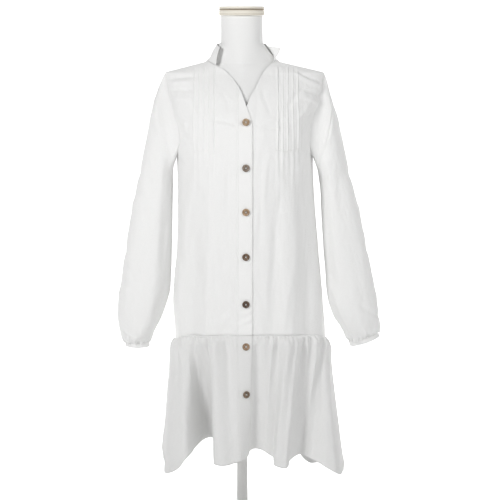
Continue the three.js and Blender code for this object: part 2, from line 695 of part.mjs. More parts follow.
// Middle of a sleeve's section
const sleeveMiddle = (table, share) =>
  sleeveOval(table, 0.25, share).add(sleeveOval(table, 0.75, share)).multiplyScalar(0.5);

// Point of the armhole's edge, with the directions out of the cloth and on past the edge
function armholeEdge(turn, side) {
  const at = (t) => {
    const place = armholePlace(t - Math.floor(t), side);
    return bodicePoint(place.angle, place.z);
  };
  const { angle, z } = armholePlace(turn, side);
  const normal = bodiceNormal(angle, z);
  const edge = at(turn + 0.01).sub(at(turn - 0.01));
  const ahead = normal.clone().cross(edge).multiplyScalar(-side).normalize();
  return { point: bodicePoint(angle, z), normal, ahead };
}

// The sleeve's outside: it leaves the armhole as the bodice's cloth does and turns down into the oval
function sleeveSurface(side) {
  const table = sleeveTable(side);
  const { from, growth, to, fade } = SLEEVE_FOLD_REACH;
  const { turns, along: wave, between } = SLEEVE_FOLD_SWING;
  return (turn, share) => {
    const here = turn - Math.floor(turn);
    const { point: edge, normal, ahead } = armholeEdge(here, side);
    const underarm = Math.max(0, Math.cos(2 * Math.PI * here));
    const start = moved(edge, ahead, SEAM + HEAD.reach * share);
    start.addScaledVector(normal, HEAD.swing * underarm * share);
    const point = start.lerp(sleeveOval(table, here, share), ease(share / HEAD.blend));
    const grown = ease((share - from) / growth) * (1 - ease((share - to) / fade));
    const out = point.clone().sub(sleeveMiddle(table, share)).normalize();
    let lift = 0;
    for (const fold of SLEEVE_FOLDS) {
      const swing = fold.turn + turns * Math.sin(wave * share + between * fold.turn);
      lift += fold.swell * bump(here - swing, fold.spread);
    }
    return point.addScaledVector(out, lift * grown);
  };
}

// Outward normal of a sleeve
function sleeveNormal(side, turn, share) {
  if (share === 0) return armholeEdge(turn, side).normal;
  if (share === 1) return cuffNormal(side, turn);
  const normal = normalOf(sleeveSurface(side), turn, share, 0.01, 0.008);
  return side < 0 ? normal : normal.negate();
}

// One sleeve, gathered at its lower end
function sleeve(side) {
  const surface = sleeveSurface(side);
  const outer = [];
  const inner = [];
  for (let row = 0; row <= SLEEVE_ROWS; row += 1) {
    const step = row / SLEEVE_ROWS;
    const share = mix(step, ease(step), SLEEVE_PACKING);
    outer.push([]);
    inner.push([]);
    for (let i = 0; i < SLEEVE_COLUMNS; i += 1) {
      const turn = i / SLEEVE_COLUMNS;
      const normal = sleeveNormal(side, turn, share);
      const gathered = CUFF_GATHER.height * bump(share - CUFF_GATHER.at, CUFF_GATHER.spread);
      const point = surface(turn, share);
      if (row < SLEEVE_ROWS) point.addScaledVector(normal, i % 2 ? -gathered : gathered);
      outer[row].push(point);
      inner[row].push(moved(point, normal, -WALL));
    }
  }
  return wallGeometry(outer, inner, true);
}

// Direction from the middle of the sleeve's end to a point of it, in the plane of that end
function cuffNormal(side, turn) {
  const table = sleeveTable(side);
  return sleeveOval(table, turn, 1).sub(sleeveMiddle(table, 1)).normalize();
}

// The narrow band at the end of a sleeve
function cuff(side) {
  const end = sleeveTable(side).at(-1);
  const slope = new THREE.Vector2(end.outX - end.inX, end.outZ - end.inZ).normalize();
  const down = new THREE.Vector3(side * Math.abs(slope.y), 0, -Math.abs(slope.x));
  const outer = [];
  const inner = [];
  for (const share of [0, 0.5, 1]) {
    const ring = [];
    for (let i = 0; i < SLEEVE_COLUMNS; i += 1) {
      const turn = i / SLEEVE_COLUMNS;
      const out = cuffNormal(side, turn);
      const point = moved(sleeveOval(sleeveTable(side), turn, 1), down, SEAM + CUFF.height * share);
      point.addScaledVector(out, CUFF.flare * share ** 2 * (i % 2 ? -CUFF.waver : 1));
      ring.push({ point, within: moved(point, out, -WALL) });
    }
    outer.push(ring.map(({ point }) => point));
    inner.push(ring.map(({ within }) => within));
  }
  return wallGeometry(outer, inner, true);
}

// The bodice's lower edge that the skirt hangs from: places by angle, from the back all round to the back
function waistRow() {
  const back = backPlaces(0);
  const half = (back.length - 1) / 2;
  const left = halfRow(0, -1, frontColumns(-1), frontTop, false).toReversed();
  const right = halfRow(0, 1, frontColumns(1), frontTop, false);
  const beyondBand = right.filter(({ angle }) => angle > left.at(-1).angle + 1);
  const backLeft = back.slice(0, half).toReversed();
  const backRight = back.slice(half + 1).toReversed().slice(1);
  const middle = back[half];
  return [
    { ...middle, angle: -180 },
    ...backLeft.map(({ angle, z }) => ({ angle: wrapped(angle), z })),
    ...left.slice(1),
    ...beyondBand,
    ...backRight.map(({ angle, z }) => ({ angle: wrapped(angle), z })),
    { ...middle, angle: 180 },
  ];
}
const WAIST_ROW = waistRow();

// Point and normal of the waist seam at an angle, straight between the bodice's columns
function waistSeam(angle) {
  const at = wrapped(angle);
  let i = 0;
  while (i < WAIST_ROW.length - 2 && at > WAIST_ROW[i + 1].angle) i += 1;
  const [a, b] = [WAIST_ROW[i], WAIST_ROW[i + 1]];
  const t = clamp01((at - a.angle) / (b.angle - a.angle));
  const point = bodicePoint(a.angle, a.z).lerp(bodicePoint(b.angle, b.z), t);
  const normal = bodiceNormal(a.angle, a.z).lerp(bodiceNormal(b.angle, b.z), t);
  return { point, normal };
}

// The skirt's outside: position is a row number of the table with a fraction, share runs down to the hem
function skirtPoint(position, share) {
  const value = (column) => along(SKIRT, column, position, true);
  const { point: top, normal } = waistSeam(value("angle"));
  const hem = new THREE.Vector3(value("x"), value("y"), value("z"));
  top.addScaledVector(normal, SKIRT_PUFF.out * ease(share / SKIRT_PUFF.depth));
  top.z -= SEAM;
  return top.lerp(hem, share);
}

// Outward direction of the skirt; at the seam it is the bodice's
function skirtNormal(position, share) {
  if (share === 0) return waistSeam(along(SKIRT, "angle", position, true)).normal;
  return normalOf(skirtPoint, position, Math.min(share, 0.97), 0.08, 0.03).negate();
}

// Share of the skirt's length reached by a row, and the row that a share lies in
const skirtShare = (row) => (row / SKIRT_ROWS) ** SKIRT_PACKING;
const skirtRow = (share) => Math.floor(SKIRT_ROWS * share ** (1 / SKIRT_PACKING));

// One skirt panel between two rows of the table, standing off the plain skirt by a lift
function skirtPanel(first, last, lift) {
  const columns = (last - first) * SKIRT_COLUMNS;
  const outer = [];
  const inner = [];
  for (let row = 0; row <= SKIRT_ROWS; row += 1) {
    const share = skirtShare(row);
    const fade = ease(share / SKIRT_GATHER.rise) * Math.exp(-share / SKIRT_GATHER.fade);
    outer.push([]);
    inner.push([]);
    for (let i = 0; i <= columns; i += 1) {
      const position = first + i / SKIRT_COLUMNS;
      const normal = skirtNormal(position, share);
      const plain = i === 0 || i === columns || inBand(position);
      const gather = plain ? 0 : SKIRT_GATHER.height * fade * (i % 2 ? 1 : -1);
      const sideways = i === 0 ? 1 : i === columns ? -1 : 0;
      const point = moved(skirtPoint(position, share), normal, lift(position) + gather);
      point.addScaledVector(skirtAcross(position), 0.5 * SEAM * sideways);
      outer[row].push(point);
      inner[row].push(moved(point, normal, -WALL));
    }
  }
  return wallGeometry(outer, inner, false);
}

// Whether a position is under the button band
const inBand = (position) => position >= SKIRT_AT.bandLeft && position <= SKIRT_AT.bandRight;

// Level direction along the skirt at a position, towards the viewer's right at the front
const skirtAcross = (position) =>
  skirtPoint(position + 0.1, 0.5).sub(skirtPoint(position - 0.1, 0.5)).setZ(0).normalize();

// How far the left skirt front stands off the right one
const skirtLift = (position) => LAYER * ease(position - (SKIRT_AT.bandLeft - 1));

// The lower end of the strip that carries the buttons
function skirtBand() {
  const outer = [];
  const inner = [];
  for (let row = 0; row <= SKIRT_ROWS; row += 1) {
    const share = skirtShare(row);
    const strip = (lift) =>
      [0, 1, 2, 3].map((i) => {
        const position = SKIRT_AT.bandLeft + i / SKIRT_COLUMNS;
        return moved(skirtPoint(position, share), skirtNormal(position, share), LAYER + lift);
      });
    outer.push(strip(BAND.gapOnSkirt + BAND.thick));
    inner.push(strip(BAND.gapOnSkirt));
  }
  return wallGeometry(outer, inner, false);
}

// Round button with a raised rim and a dished middle, its back at z 0
function buttonGeometry() {
  const { radius, thick, edge, rim, dish, segments } = BUTTON;
  return turned(
    [
      [0, 0],
      [radius - edge, 0],
      [radius, thick / 2],
      [radius - edge / 2, thick],
      [radius - rim, thick],
      [radius - rim - dish, thick - dish],
      [0, thick - dish],
    ],
    segments,
  );
}

// A button with its back at a point and its face along a normal
function buttonOn(point, normal, name) {
  const button = new THREE.Mesh(buttonGeometry(), BUTTON_SHELL);
  button.name = name;
  button.position.copy(point);
  button.quaternion.setFromUnitVectors(new THREE.Vector3(0, 0, 1), normal);
  return button;
}

// Five buttons on the bodice, the first one tipped in its buttonhole, and two on the skirt
function buttons() {
  const onBodice = BUTTON_HEIGHTS.map((z, k) => {
    const angle = angleOfX(BUTTON_LINE, z);
    const normal = bodiceNormal(angle, z);
    const point = bodicePoint(angle, z, LAYER + BAND.thick + BUTTON_OFF_BAND.bodice);
    const button = buttonOn(point, normal, `button_${k + 1}`);
    if (k === 0) {
      const axis = new THREE.Vector3(Math.cos(TOP_BUTTON.turn), 0, Math.sin(TOP_BUTTON.turn));
      button.quaternion.premultiply(new THREE.Quaternion().setFromAxisAngle(axis, TOP_BUTTON.tilt));
      button.position.addScaledVector(normal, TOP_BUTTON.lift);
    }
    return button;
  });
  const onSkirt = SKIRT_BUTTON_HEIGHTS.map((z, k) => {
    const position = SKIRT_AT.bandLeft + BUTTON_AT_BAND;
    const top = skirtPoint(position, 0).z;
    const share = (top - z) / (top - skirtPoint(position, 1).z);
    const row = skirtRow(share);
    const [above, below] = [skirtShare(row), skirtShare(row + 1)];
    const flat = (u, v) =>
      skirtPoint(u, above).lerp(skirtPoint(u, below), (v - above) / (below - above));
    const normal = normalOf(flat, position, share, 0.3, 0.01).negate();
    const point = moved(flat(position, share), normal, LAYER + BAND.thick + BUTTON_OFF_BAND.skirt);
    return buttonOn(point, normal, `button_${BUTTON_HEIGHTS.length + k + 1}`);
  });
  return [...onBodice, ...onSkirt];
}

// Solid turned about Z from points of radius and height
function turned(points, segments) {
  const profile = points.map(([x, y]) => new THREE.Vector2(x, y));
  return new THREE.LatheGeometry(profile, segments).rotateX(Math.PI / 2);
}

// Solid through rings of points, closed by its end rings
function loftGeometry(rings) {
  const columns = rings[0].length;
  const points = rings.flat();
  const faces = [];
  for (let j = 0; j < rings.length - 1; j += 1) {
    for (let i = 0; i < columns; i += 1) {
      const next = (i + 1) % columns;
      const [a, b] = [j * columns + i, j * columns + next];
      faces.push(a, b, b + columns, a, b + columns, a + columns);
    }
  }
  const top = (rings.length - 1) * columns;
  for (let i = 1; i < columns - 1; i += 1) {
    faces.push(0, i + 1, i, top, top + i, top + i + 1);
  }
  return facingOut(points, faces);
}

// One ring of the form's skin
function formRing(section, middle) {
  const { z, half, front, back, square } = section;
  const ring = [];
  for (let i = 0; i < FORM_COLUMNS; i += 1) {
    ring.push(ringPoint((360 * i) / FORM_COLUMNS, z, middle, half, front, back, square));
  }
  return ring;
}

// Rings under the shoulder seams, just below the cloth along the ridge
function shoulderRings() {
  const drop = WALL + FORM_UNDER_CLOTH;
  const [tip, neck] = BODICE.slice(-2);
  const slope = Math.hypot(tip.half - neck.half, NECK_Z - SHOULDER_Z) / (tip.half - neck.half);
  return FORM_SHOULDER.map(({ share, inset }) => {
    const z = mix(SHOULDER_Z, NECK_Z, share) - drop * slope;
    const half = mix(tip.half, neck.half, share);
    const [front, back] = ["front", "back"].map((side) => lookUp(BODICE, "z", side, z) - inset);
    const section = { z, half, front, back, square: FORM_SHOULDER_SQUARE };
    return formRing(section, mix(tip.middle, neck.middle, share));
  });
}

// Body and neck of the form in one solid
function dressForm() {
  const middle = (z) => FORM_FOLLOWS * lookUp(BODICE, "z", "middle", z);
  const rings = FORM.map((section) => formRing(section, middle(section.z)));
  rings.push(...shoulderRings());
  rings.push(...FORM_NECK.map((section) => formRing(section, 0)));
  return loftGeometry(rings);
}

// Cap on the neck, with a groove round it
function neckCap() {
  const { bottom, groove, grooveTop, top, radius, waist } = CAP;
  return turned(
    [
      [0, bottom],
      [radius - CAP_EDGE, bottom],
      [radius, bottom + CAP_EDGE],
      [radius, groove - CAP_EDGE],
      [waist, groove],
      [waist, grooveTop],
      [radius, grooveTop + CAP_EDGE / 2],
      [radius, top - CAP_EDGE],
      [radius - CAP_EDGE, top],
      [0, top],
    ],
    28,
  );
}

// Post between the foot and the form, with a collar under the form
function post() {
  const { radius, collar: wide, collarHeight, slope, gap } = POST;
  const bottom = FOOT.thick + FOOT.hubHeight + gap;
  const top = FORM[0].z - gap;
  return turned(
    [
      [0, bottom],
      [radius, bottom],
      [radius, top - collarHeight],
      [wide, top - collarHeight + slope],
      [wide, top],
      [0, top],
    ],
    16,
  );
}

// Round foot with a tapered hub
function foot() {
  const { radius, thick, edge, hub, hubTop, hubHeight, rounding } = FOOT;
  return turned(
    [
      [0, 0],
      [radius - rounding, 0],
      [radius, rounding],
      [radius, thick - edge],
      [radius - edge, thick],
      [hub, thick],
      [hubTop, thick + hubHeight],
      [0, thick + hubHeight],
    ],
    32,
  );
}

const cloth = (colour) => new THREE.MeshStandardMaterial({ color: colour, roughness: 0.9, metalness: 0 });
const COTTON = cloth(0xf3f3f1);
const COTTON_BAND = cloth(0xf5f5f3);
const JERSEY = cloth(0xe9e9e7);
const TRIM = cloth(0xe6dfcf);
const BUTTON_SHELL = new THREE.MeshStandardMaterial({ color: 0x8a7560, roughness: 0.45, metalness: 0 });
const WHITE_STEEL = new THREE.MeshStandardMaterial({ color: 0xf0f0ee, roughness: 0.4, metalness: 0.1 });

const dress = new THREE.Group();
const LEFT = -1;
const RIGHT = 1;
const add = (name, geometry, material) => {
  const mesh = new THREE.Mesh(geometry, material);
  mesh.name = name;
  dress.add(mesh);
};

add("bodice_front_left", frontPanel(LEFT), COTTON);
add("bodice_front_right", frontPanel(RIGHT), COTTON);
add("bodice_back", backPanel(), COTTON);
add("button_band_bodice", buttonBand(), COTTON_BAND);
add("collar_stand", collar(), COTTON_BAND);
add("sleeve_left", sleeve(LEFT), COTTON);
add("sleeve_right", sleeve(RIGHT), COTTON);
add("cuff_left", cuff(LEFT), COTTON_BAND);
add("cuff_right", cuff(RIGHT), COTTON_BAND);
add("skirt_front_left", skirtPanel(0, SKIRT_AT.bandRight, skirtLift), COTTON);
add("skirt_front_right", skirtPanel(SKIRT_AT.bandLeft, SKIRT_AT.rightSeam, () => 0), COTTON);
add("skirt_back", skirtPanel(SKIRT_AT.rightSeam, SKIRT.length, () => 0), COTTON);
add("button_band_skirt", skirtBand(), COTTON_BAND);
dress.add(...buttons());
add("form_body", dressForm(), JERSEY);
add("form_neck_cap", neckCap(), TRIM);
add("stand_post", post(), WHITE_STEEL);
add("stand_foot", foot(), WHITE_STEEL);

export default dress;
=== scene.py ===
"""White cotton shirt dress on a dress form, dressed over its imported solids.

Sizes are in millimetres and are turned to metres where a mesh is made. The dress faces -Y, and
left and right are the viewer's, from the front.
"""

from __future__ import annotations

import json
import logging
import math
from dataclasses import dataclass, field
from enum import Enum

import bpy
import numpy as np
from mathutils import Matrix, Vector

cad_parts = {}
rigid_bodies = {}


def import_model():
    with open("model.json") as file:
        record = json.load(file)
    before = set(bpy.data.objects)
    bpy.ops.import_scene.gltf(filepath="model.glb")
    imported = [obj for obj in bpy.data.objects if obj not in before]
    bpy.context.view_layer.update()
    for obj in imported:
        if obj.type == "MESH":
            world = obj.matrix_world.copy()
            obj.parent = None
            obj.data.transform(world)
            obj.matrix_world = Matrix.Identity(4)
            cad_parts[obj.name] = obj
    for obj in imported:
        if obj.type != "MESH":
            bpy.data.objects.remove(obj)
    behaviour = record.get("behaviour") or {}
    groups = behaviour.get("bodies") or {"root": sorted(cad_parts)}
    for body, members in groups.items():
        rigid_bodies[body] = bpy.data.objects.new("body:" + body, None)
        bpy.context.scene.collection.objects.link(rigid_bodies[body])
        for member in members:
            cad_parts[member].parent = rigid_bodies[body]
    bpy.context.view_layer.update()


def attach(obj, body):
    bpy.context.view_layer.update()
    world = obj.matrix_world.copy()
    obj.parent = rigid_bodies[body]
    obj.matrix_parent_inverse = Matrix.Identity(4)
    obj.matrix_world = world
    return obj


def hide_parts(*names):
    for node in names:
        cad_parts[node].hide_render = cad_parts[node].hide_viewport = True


MM = 0.001
Array = np.ndarray
Outline = tuple[tuple[float, float], ...]  # (radius, z) points in mm

log = logging.getLogger("dress")


# Curves


@dataclass(frozen=True)
class Table:
    """Rows of named sizes that are read as smooth curves."""

    columns: tuple[str, ...]
    rows: tuple[tuple[float, ...], ...]

    def column(self, name: str) -> Array:
        """The values of one column."""
        return np.array(self.rows, dtype=float)[:, self.columns.index(name)]

    def smooth(self, name: str, at: Array) -> Array:
        """Value of a column where the first column has given values, with no overshoot.

        Args:
            name: the column to read.
            at: values of the first column.

        Returns:
            The column's values there.
        """
        keys, values = self.column(self.columns[0]), self.column(name)
        rise = np.diff(values) / np.diff(keys)
        slope = np.zeros(len(keys))
        slope[0], slope[-1] = rise[0], rise[-1]
        same = rise[:-1] * rise[1:] > 0
        total = np.where(same, rise[:-1] + rise[1:], 1.0)
        slope[1:-1] = np.where(same, 2 * rise[:-1] * rise[1:] / total, 0.0)
        i = np.clip(np.searchsorted(keys, at, side="right") - 1, 0, len(keys) - 2)
        span = keys[i + 1] - keys[i]
        t = np.clip((at - keys[i]) / span, 0, 1)
        bend = (2 * t - 3) * t * t
        start = values[i] * (1 + bend) + slope[i] * span * t * (1 - t) ** 2
        return start - values[i + 1] * bend - slope[i + 1] * span * t * t * (1 - t)

    def rounded(self, name: str, position: Array, closed: bool = False) -> Array:
        """Catmull-Rom value of a column at row numbers with fractions.

        Args:
            name: the column to read.
            position: row numbers.
            closed: whether the last row leads back to the first.

        Returns:
            The column's values there.
        """
        values = self.column(name)
        count = len(values)
        i = np.floor(position).astype(int)
        if not closed:
            i = np.clip(i, 0, count - 2)
        t = position - i

        def at(k: Array) -> Array:
            """Value at whole row numbers."""
            if not closed:
                return values[np.clip(k, 0, count - 1)]
            turns = 360 * np.floor_divide(k, count) if name == "angle" else 0
            return values[np.mod(k, count)] + turns

        p, a, b, q = at(i - 1), at(i), at(i + 1), at(i + 2)
        return a + 0.5 * t * (b - p + t * (2 * p - 5 * a + 4 * b - q + t * (3 * (a - b) + q - p)))


def mix(a: Array, b: Array, t: Array) -> Array:
    """Straight blend from a to b."""
    return a + (b - a) * t


def ease(t: Array) -> Array:
    """Smooth step from 0 to 1."""
    t = np.clip(t, 0, 1)
    return t * t * (3 - 2 * t)


@dataclass(frozen=True)
class Fade:
    """Smooth step from 0 at a start to 1 a reach further on; a negative reach runs down."""

    start: float
    reach: float

    def at(self, value: Array) -> Array:
        """Share of the step at a value."""
        return ease((value - self.start) / self.reach)


def bump(distance: Array, spread: float) -> Array:
    """Bell curve of a distance."""
    return np.exp(-((distance / spread) ** 2))


def power(value: Array, exponent: Array) -> Array:
    """Power that keeps the sign."""
    return np.sign(value) * np.abs(value) ** exponent


def wrapped(angle: Array) -> Array:
    """Signed angle in (-180, 180]."""
    return angle - 360 * np.ceil((angle - 180) / 360)


# Sizes shared by the panels, as in the solids

SHOULDER_Z = 1106.0
NECK_Z = 1131.0
UNDERARM_Z = 915.0
BACK_NECK_RISE = 8.0
BUTTON_LINE = 9.5
BUTTON_PITCH = 99
BAND_LEFT = -9.6
BAND_RIGHT = 23.9
CLOTH = 0.7  # thickness of the shell that stands for one layer
OVERLAP = 1.3  # how far the upper front stands off the lower one

BODICE = Table(
    ("z", "middle", "half", "front", "back", "square"),
    (
        (470, 19, 175, 127, 122, 2.1),
        (520, 18, 174.5, 127, 121, 2.1),
        (580, 13.7, 173.5, 126, 119, 2.1),
        (640, 13, 169, 126, 117, 2.1),
        (700, 13, 163, 127, 115, 2.12),
        (800, 10, 157, 129, 113, 2.18),
        (900, 7, 154, 131, 115, 2.25),
        (950, 6, 156, 129, 115, 2.3),
        (1000, 6, 162, 119, 111, 2.25),
        (1050, 6, 171, 97, 100, 2.12),
        (1085, 6, 175, 74, 82, 1.95),
        (SHOULDER_Z, 6, 177, 57, 64, 1.78),
        (NECK_Z, 1, 75, 44, 58, 1.9),
    ),
)

WAIST = Table(
    ("angle", "z"),
    (
        (-180, 500),
        (-135, 494),
        (-90, 483),
        (-55, 518),
        (0, 529),
        (55, 520),
        (90, 491),
        (135, 497),
        (180, 500),
    ),
)

ROW_PACKING = 1.5  # above 1, rows lie closer together towards the shoulder
UNDERARM_SHARE = 0.5  # share of a panel's rows that lie below the underarm
ARMHOLE_PACKING = 1.2
ARMHOLE = Table(
    ("along", "z", "angle"),
    (
        (0, UNDERARM_Z, 90),
        (0.08, 918, 81),
        (0.18, 930, 72.5),
        (0.3, 952, 67.5),
        (0.45, 985, 68.5),
        (0.6, 1018, 73),
        (0.75, 1050, 79),
        (0.88, 1080, 84.5),
        (1, SHOULDER_Z, 90),
    ),
)

NECKLINE_LEFT = Table(
    ("x", "z"),
    (
        (-74, NECK_Z),
        (-63.9, 1124.6),
        (-39.1, 1113),
        (-23, 1099.1),
        (-9.4, 1080.8),
        (-0.4, 1064),
        (8.6, 1040.4),
        (19.7, 1010.4),
        (BAND_RIGHT, 998),
    ),
)

NECKLINE_RIGHT = Table(
    ("x", "z"),
    (
        (BAND_LEFT, 991),
        (3, 1021),
        (11.9, 1038.4),
        (19.7, 1057.5),
        (28.7, 1072.2),
        (37.7, 1089.4),
        (46.9, 1106.4),
        (58.3, 1119.6),
        (68, 1127),
        (76, NECK_Z),
    ),
)

BODICE_FOLDS = Table(
    ("start", "foot", "swell", "spread", "top"),
    (
        (-66, -64, 3.5, 9, 880),
        (-42, -48, -5, 8, 935),
        (-31, -31, 5, 7, 935),
        (-19, -17, -2.5, 6, 930),
        (27, 15, -3.5, 6, 925),
        (38, 30, 5, 8, 925),
        (50, 49, -3.5, 7, 930),
        (66, 68, 3.5, 8, 900),
        (115, 112, -4, 9, 900),
        (140, 142, 5, 10, 930),
        (166, 163, -4, 9, 940),
        (-168, -165, 5, 9, 940),
        (-146, -143, -4, 9, 920),
        (-118, -120, 4, 9, 900),
    ),
)
FOLD_GROWTH = 260.0  # mm over which a fold grows to its full swell
FOLD_FOOT = 500.0  # height at which a fold reaches its foot's angle

SLEEVE_COLUMNS = ("outX", "outZ", "inX", "inZ", "depth", "y")
SLEEVE_LEFT = Table(
    SLEEVE_COLUMNS,
    (
        (-171, 1106, -147, 915, 60, 0),
        (-189, 1089, -151, 893, 60, 0),
        (-199, 1050, -155, 868, 59, 0),
        (-208, 1005, -157, 835, 57, -1),
        (-219, 950, -157.5, 795, 55, -3),
        (-233, 890, -158, 750, 54, -5),
        (-246, 820, -159.5, 705, 53, -8),
        (-259, 755, -161, 655, 53, -11),
        (-270, 685, -163.5, 612, 54, -14),
        (-280, 616, -171, 582, 55, -17),
        (-287, 562, -183, 548, 53, -19),
        (-285, 528, -196, 522, 48, -20),
        (-278, 506, -207, 505, 39, -21),
        (-268, 493.5, -214, 492.5, 27, -21),
    ),
)
SLEEVE_RIGHT = Table(
    SLEEVE_COLUMNS,
    (
        (183, 1106, 161, 915, 60, 0),
        (193, 1087, 167, 893, 60, 0),
        (204, 1050, 173, 868, 59, 0),
        (216, 1010, 178, 835, 57, -1),
        (230, 948, 179.5, 795, 55, -3),
        (246, 880, 182, 750, 54, -5),
        (263, 815, 185.5, 705, 53, -8),
        (279, 745, 189, 655, 53, -11),
        (293, 680, 192.5, 612, 54, -14),
        (305, 616, 198, 582, 55, -17),
        (313, 568, 210, 549, 53, -19),
        (316.5, 542, 226, 522, 48, -20),
        (317, 526, 238, 504, 39, -21),
        (312.5, 516, 245.5, 492.5, 30, -21),
    ),
)
SLEEVE_SQUARE = 2.15
HEAD_SHARE = 0.2  # share of the sleeve's length that its head takes
HEAD_OUT, HEAD_DOWN = 34.0, 70.0  # how the head leaves the armhole
HEAD_TUCK = 4.0  # mm of the sleeve that lie under the bodice's edge
TUCK_TURN = 0.5  # degrees round the body for a millimetre of tuck
TUCK_DEPTH = 0.35  # mm inwards for a millimetre of tuck
CUFF_HEIGHT = 13.0

SLEEVE_FOLDS = Table(
    ("turn", "swell", "spread"),
    (
        (0.12, -3, 0.05),
        (0.22, 3, 0.05),
        (0.34, -3, 0.05),
        (0.44, 2, 0.05),
        (0.62, -3, 0.06),
        (0.76, 3, 0.06),
        (0.88, -2.5, 0.05),
    ),
)

SKIRT = Table(
    ("angle", "x", "y", "z"),
    (
        (-90, -187, -14, 215),
        (-82, -180, -66, 211),
        (-72, -173, -118, 205),
        (-64, -148, -150, 225),
        (-57, -124, -148, 250),
        (-50, -107, -103, 261),
        (-43, -86, -54, 264),
        (-36, -69, -44, 262),
        (-31, -66, -98, 254),
        (-27, -61, -156, 245),
        (-19, -36, -178, 243),
        (-8.3, -4, -166, 249),
        (1.7, 14.5, -141, 256),
        (8, 31, -126, 264),
        (14, 52, -121, 257),
        (20, 67, -134, 248),
        (26, 74, -159, 240),
        (33, 92, -174, 236),
        (40, 109, -159, 238),
        (46, 119, -128, 243),
        (52, 135, -109, 247),
        (59, 160, -117, 237),
        (67, 192, -135, 223),
        (77, 224, -124, 204),
        (86, 238, -62, 202),
        (90, 237, -22, 203),
        (100, 229, 40, 190),
        (112, 206, 84, 172),
        (124, 166, 88, 158),
        (136, 132, 138, 176),
        (147, 96, 166, 200),
        (158, 60, 138, 214),
        (168, 28, 128, 220),
        (180, -5, 158, 221),
        (190, -40, 170, 222),
        (201, -75, 141, 222),
        (213, -106, 120, 222),
        (225, -136, 136, 221),
        (237, -166, 126, 219),
        (249, -187, 84, 217),
        (260, -192, 34, 216),
    ),
)
SKIRT_BAND_LEFT, SKIRT_BAND_RIGHT, SKIRT_SIDE = 11, 12, 25  # rows at the band's edges and the side
SKIRT_PUFF, SKIRT_PUFF_DEPTH = 8.0, 0.08  # how far the gathers stand out, and by what share of the depth
SKIRT_DROP = 0.4  # mm from the bodice's edge down to the skirt's
SKIRT_LENGTH = 275.0  # from the waist to the hem, for the gathers' reach


# Surfaces of the dress


def normals_of(grid: Array, closed: bool = False) -> Array:
    """Unit normals of a grid of points.

    Args:
        grid: points as rows, columns and xyz.
        closed: whether the last column leads back to the first.

    Returns:
        Normals of the same shape, along rows x columns.
    """
    if closed:
        across = np.roll(grid, -1, axis=1) - np.roll(grid, 1, axis=1)
    else:
        across = np.gradient(grid, axis=1)
    normal = np.cross(across, np.gradient(grid, axis=0))
    return normal / np.maximum(np.linalg.norm(normal, axis=-1, keepdims=True), 1e-9)


def straight_top(name: str, z: Array) -> Array:
    """A bodice column that runs straight from the shoulder's tip to the neck.

    Args:
        name: the column.
        z: height.

    Returns:
        Its value at that height.
    """
    column = BODICE.column(name)
    share = (z - SHOULDER_Z) / (NECK_Z - SHOULDER_Z)
    return np.where(share > 0, mix(column[-2], column[-1], share), BODICE.smooth(name, z))


def smooth_bodice(angle: Array, z: Array) -> Array:
    """Point of the bodice without folds.

    Args:
        angle: degrees from the front, positive to the right.
        z: height.

    Returns:
        Points with xyz last.
    """
    square = BODICE.smooth("square", z)
    sine, cosine = np.sin(np.radians(angle)), np.cos(np.radians(angle))
    depth = np.where(cosine > 0, BODICE.smooth("front", z), BODICE.smooth("back", z))
    x = straight_top("middle", z) + straight_top("half", z) * power(sine, 2 / square)
    return np.stack([x, -depth * power(cosine, 2 / square), z + 0 * x], axis=-1)


def bodice_normal(angle: Array, z: Array) -> Array:
    """Outward direction of the bodice.

    Args:
        angle: degrees from the front, positive to the right.
        z: height.

    Returns:
        Unit normals with xyz last.
    """
    across = smooth_bodice(angle + 1, z) - smooth_bodice(angle - 1, z)
    up = smooth_bodice(angle, z + 2) - smooth_bodice(angle, z - 2)
    normal = np.cross(across, up)
    return normal / np.linalg.norm(normal, axis=-1, keepdims=True)


def fold_lift(angle: Array, z: Array) -> Array:
    """How far the soft folds lift the cloth off the plain bodice.

    Args:
        angle: degrees from the front, positive to the right.
        z: height.

    Returns:
        The lift in mm.
    """
    lift = np.zeros(np.broadcast(angle, z).shape)
    for start, foot, swell, spread, top in BODICE_FOLDS.rows:
        line = mix(start, foot, np.clip((top - z) / (top - FOLD_FOOT), 0, 1))
        lift += swell * ease((top - z) / FOLD_GROWTH) * bump(wrapped(angle - line), spread)
    return lift


def bodice_point(angle: Array, z: Array, lift: Array | float = 0.0) -> Array:
    """Point of the folded bodice.

    Args:
        angle: degrees from the front, positive to the right.
        z: height.
        lift: how far it is moved out, in mm.

    Returns:
        Points with xyz last.
    """
    out = (fold_lift(angle, z) + lift)[..., None]
    return smooth_bodice(angle, z) + bodice_normal(angle, z) * out


def angle_of_x(x: Array, z: Array) -> Array:
    """Angle at which a section's front passes a given x.

    Args:
        x: place across.
        z: height of the section.

    Returns:
        Degrees from the front.
    """
    across = (x - straight_top("middle", z)) / straight_top("half", z)
    return np.degrees(np.arcsin(np.clip(power(across, BODICE.smooth("square", z) / 2), -1, 1)))


def shoulder_height(x: Array, side: int) -> Array:
    """Height of the shoulder seam above a given x.

    Args:
        x: place across.
        side: -1 for the left and 1 for the right.

    Returns:
        The height.
    """
    tip, neck = BODICE.rows[-2], BODICE.rows[-1]
    tip_x, neck_x = tip[1] + side * tip[2], neck[1] + side * neck[2]
    return mix(NECK_Z, SHOULDER_Z, np.clip((x - neck_x) / (tip_x - neck_x), 0, 1))


def front_top(x: Array, side: int) -> Array:
    """Upper edge of a front panel above a given x.

    Args:
        x: place across.
        side: -1 for the left and 1 for the right.

    Returns:
        The height.
    """
    table = NECKLINE_LEFT if side < 0 else NECKLINE_RIGHT
    neck_x = table.rows[0][0] if side < 0 else table.rows[-1][0]
    return np.where(side * (x - neck_x) >= 0, shoulder_height(x, side), table.smooth("z", x))


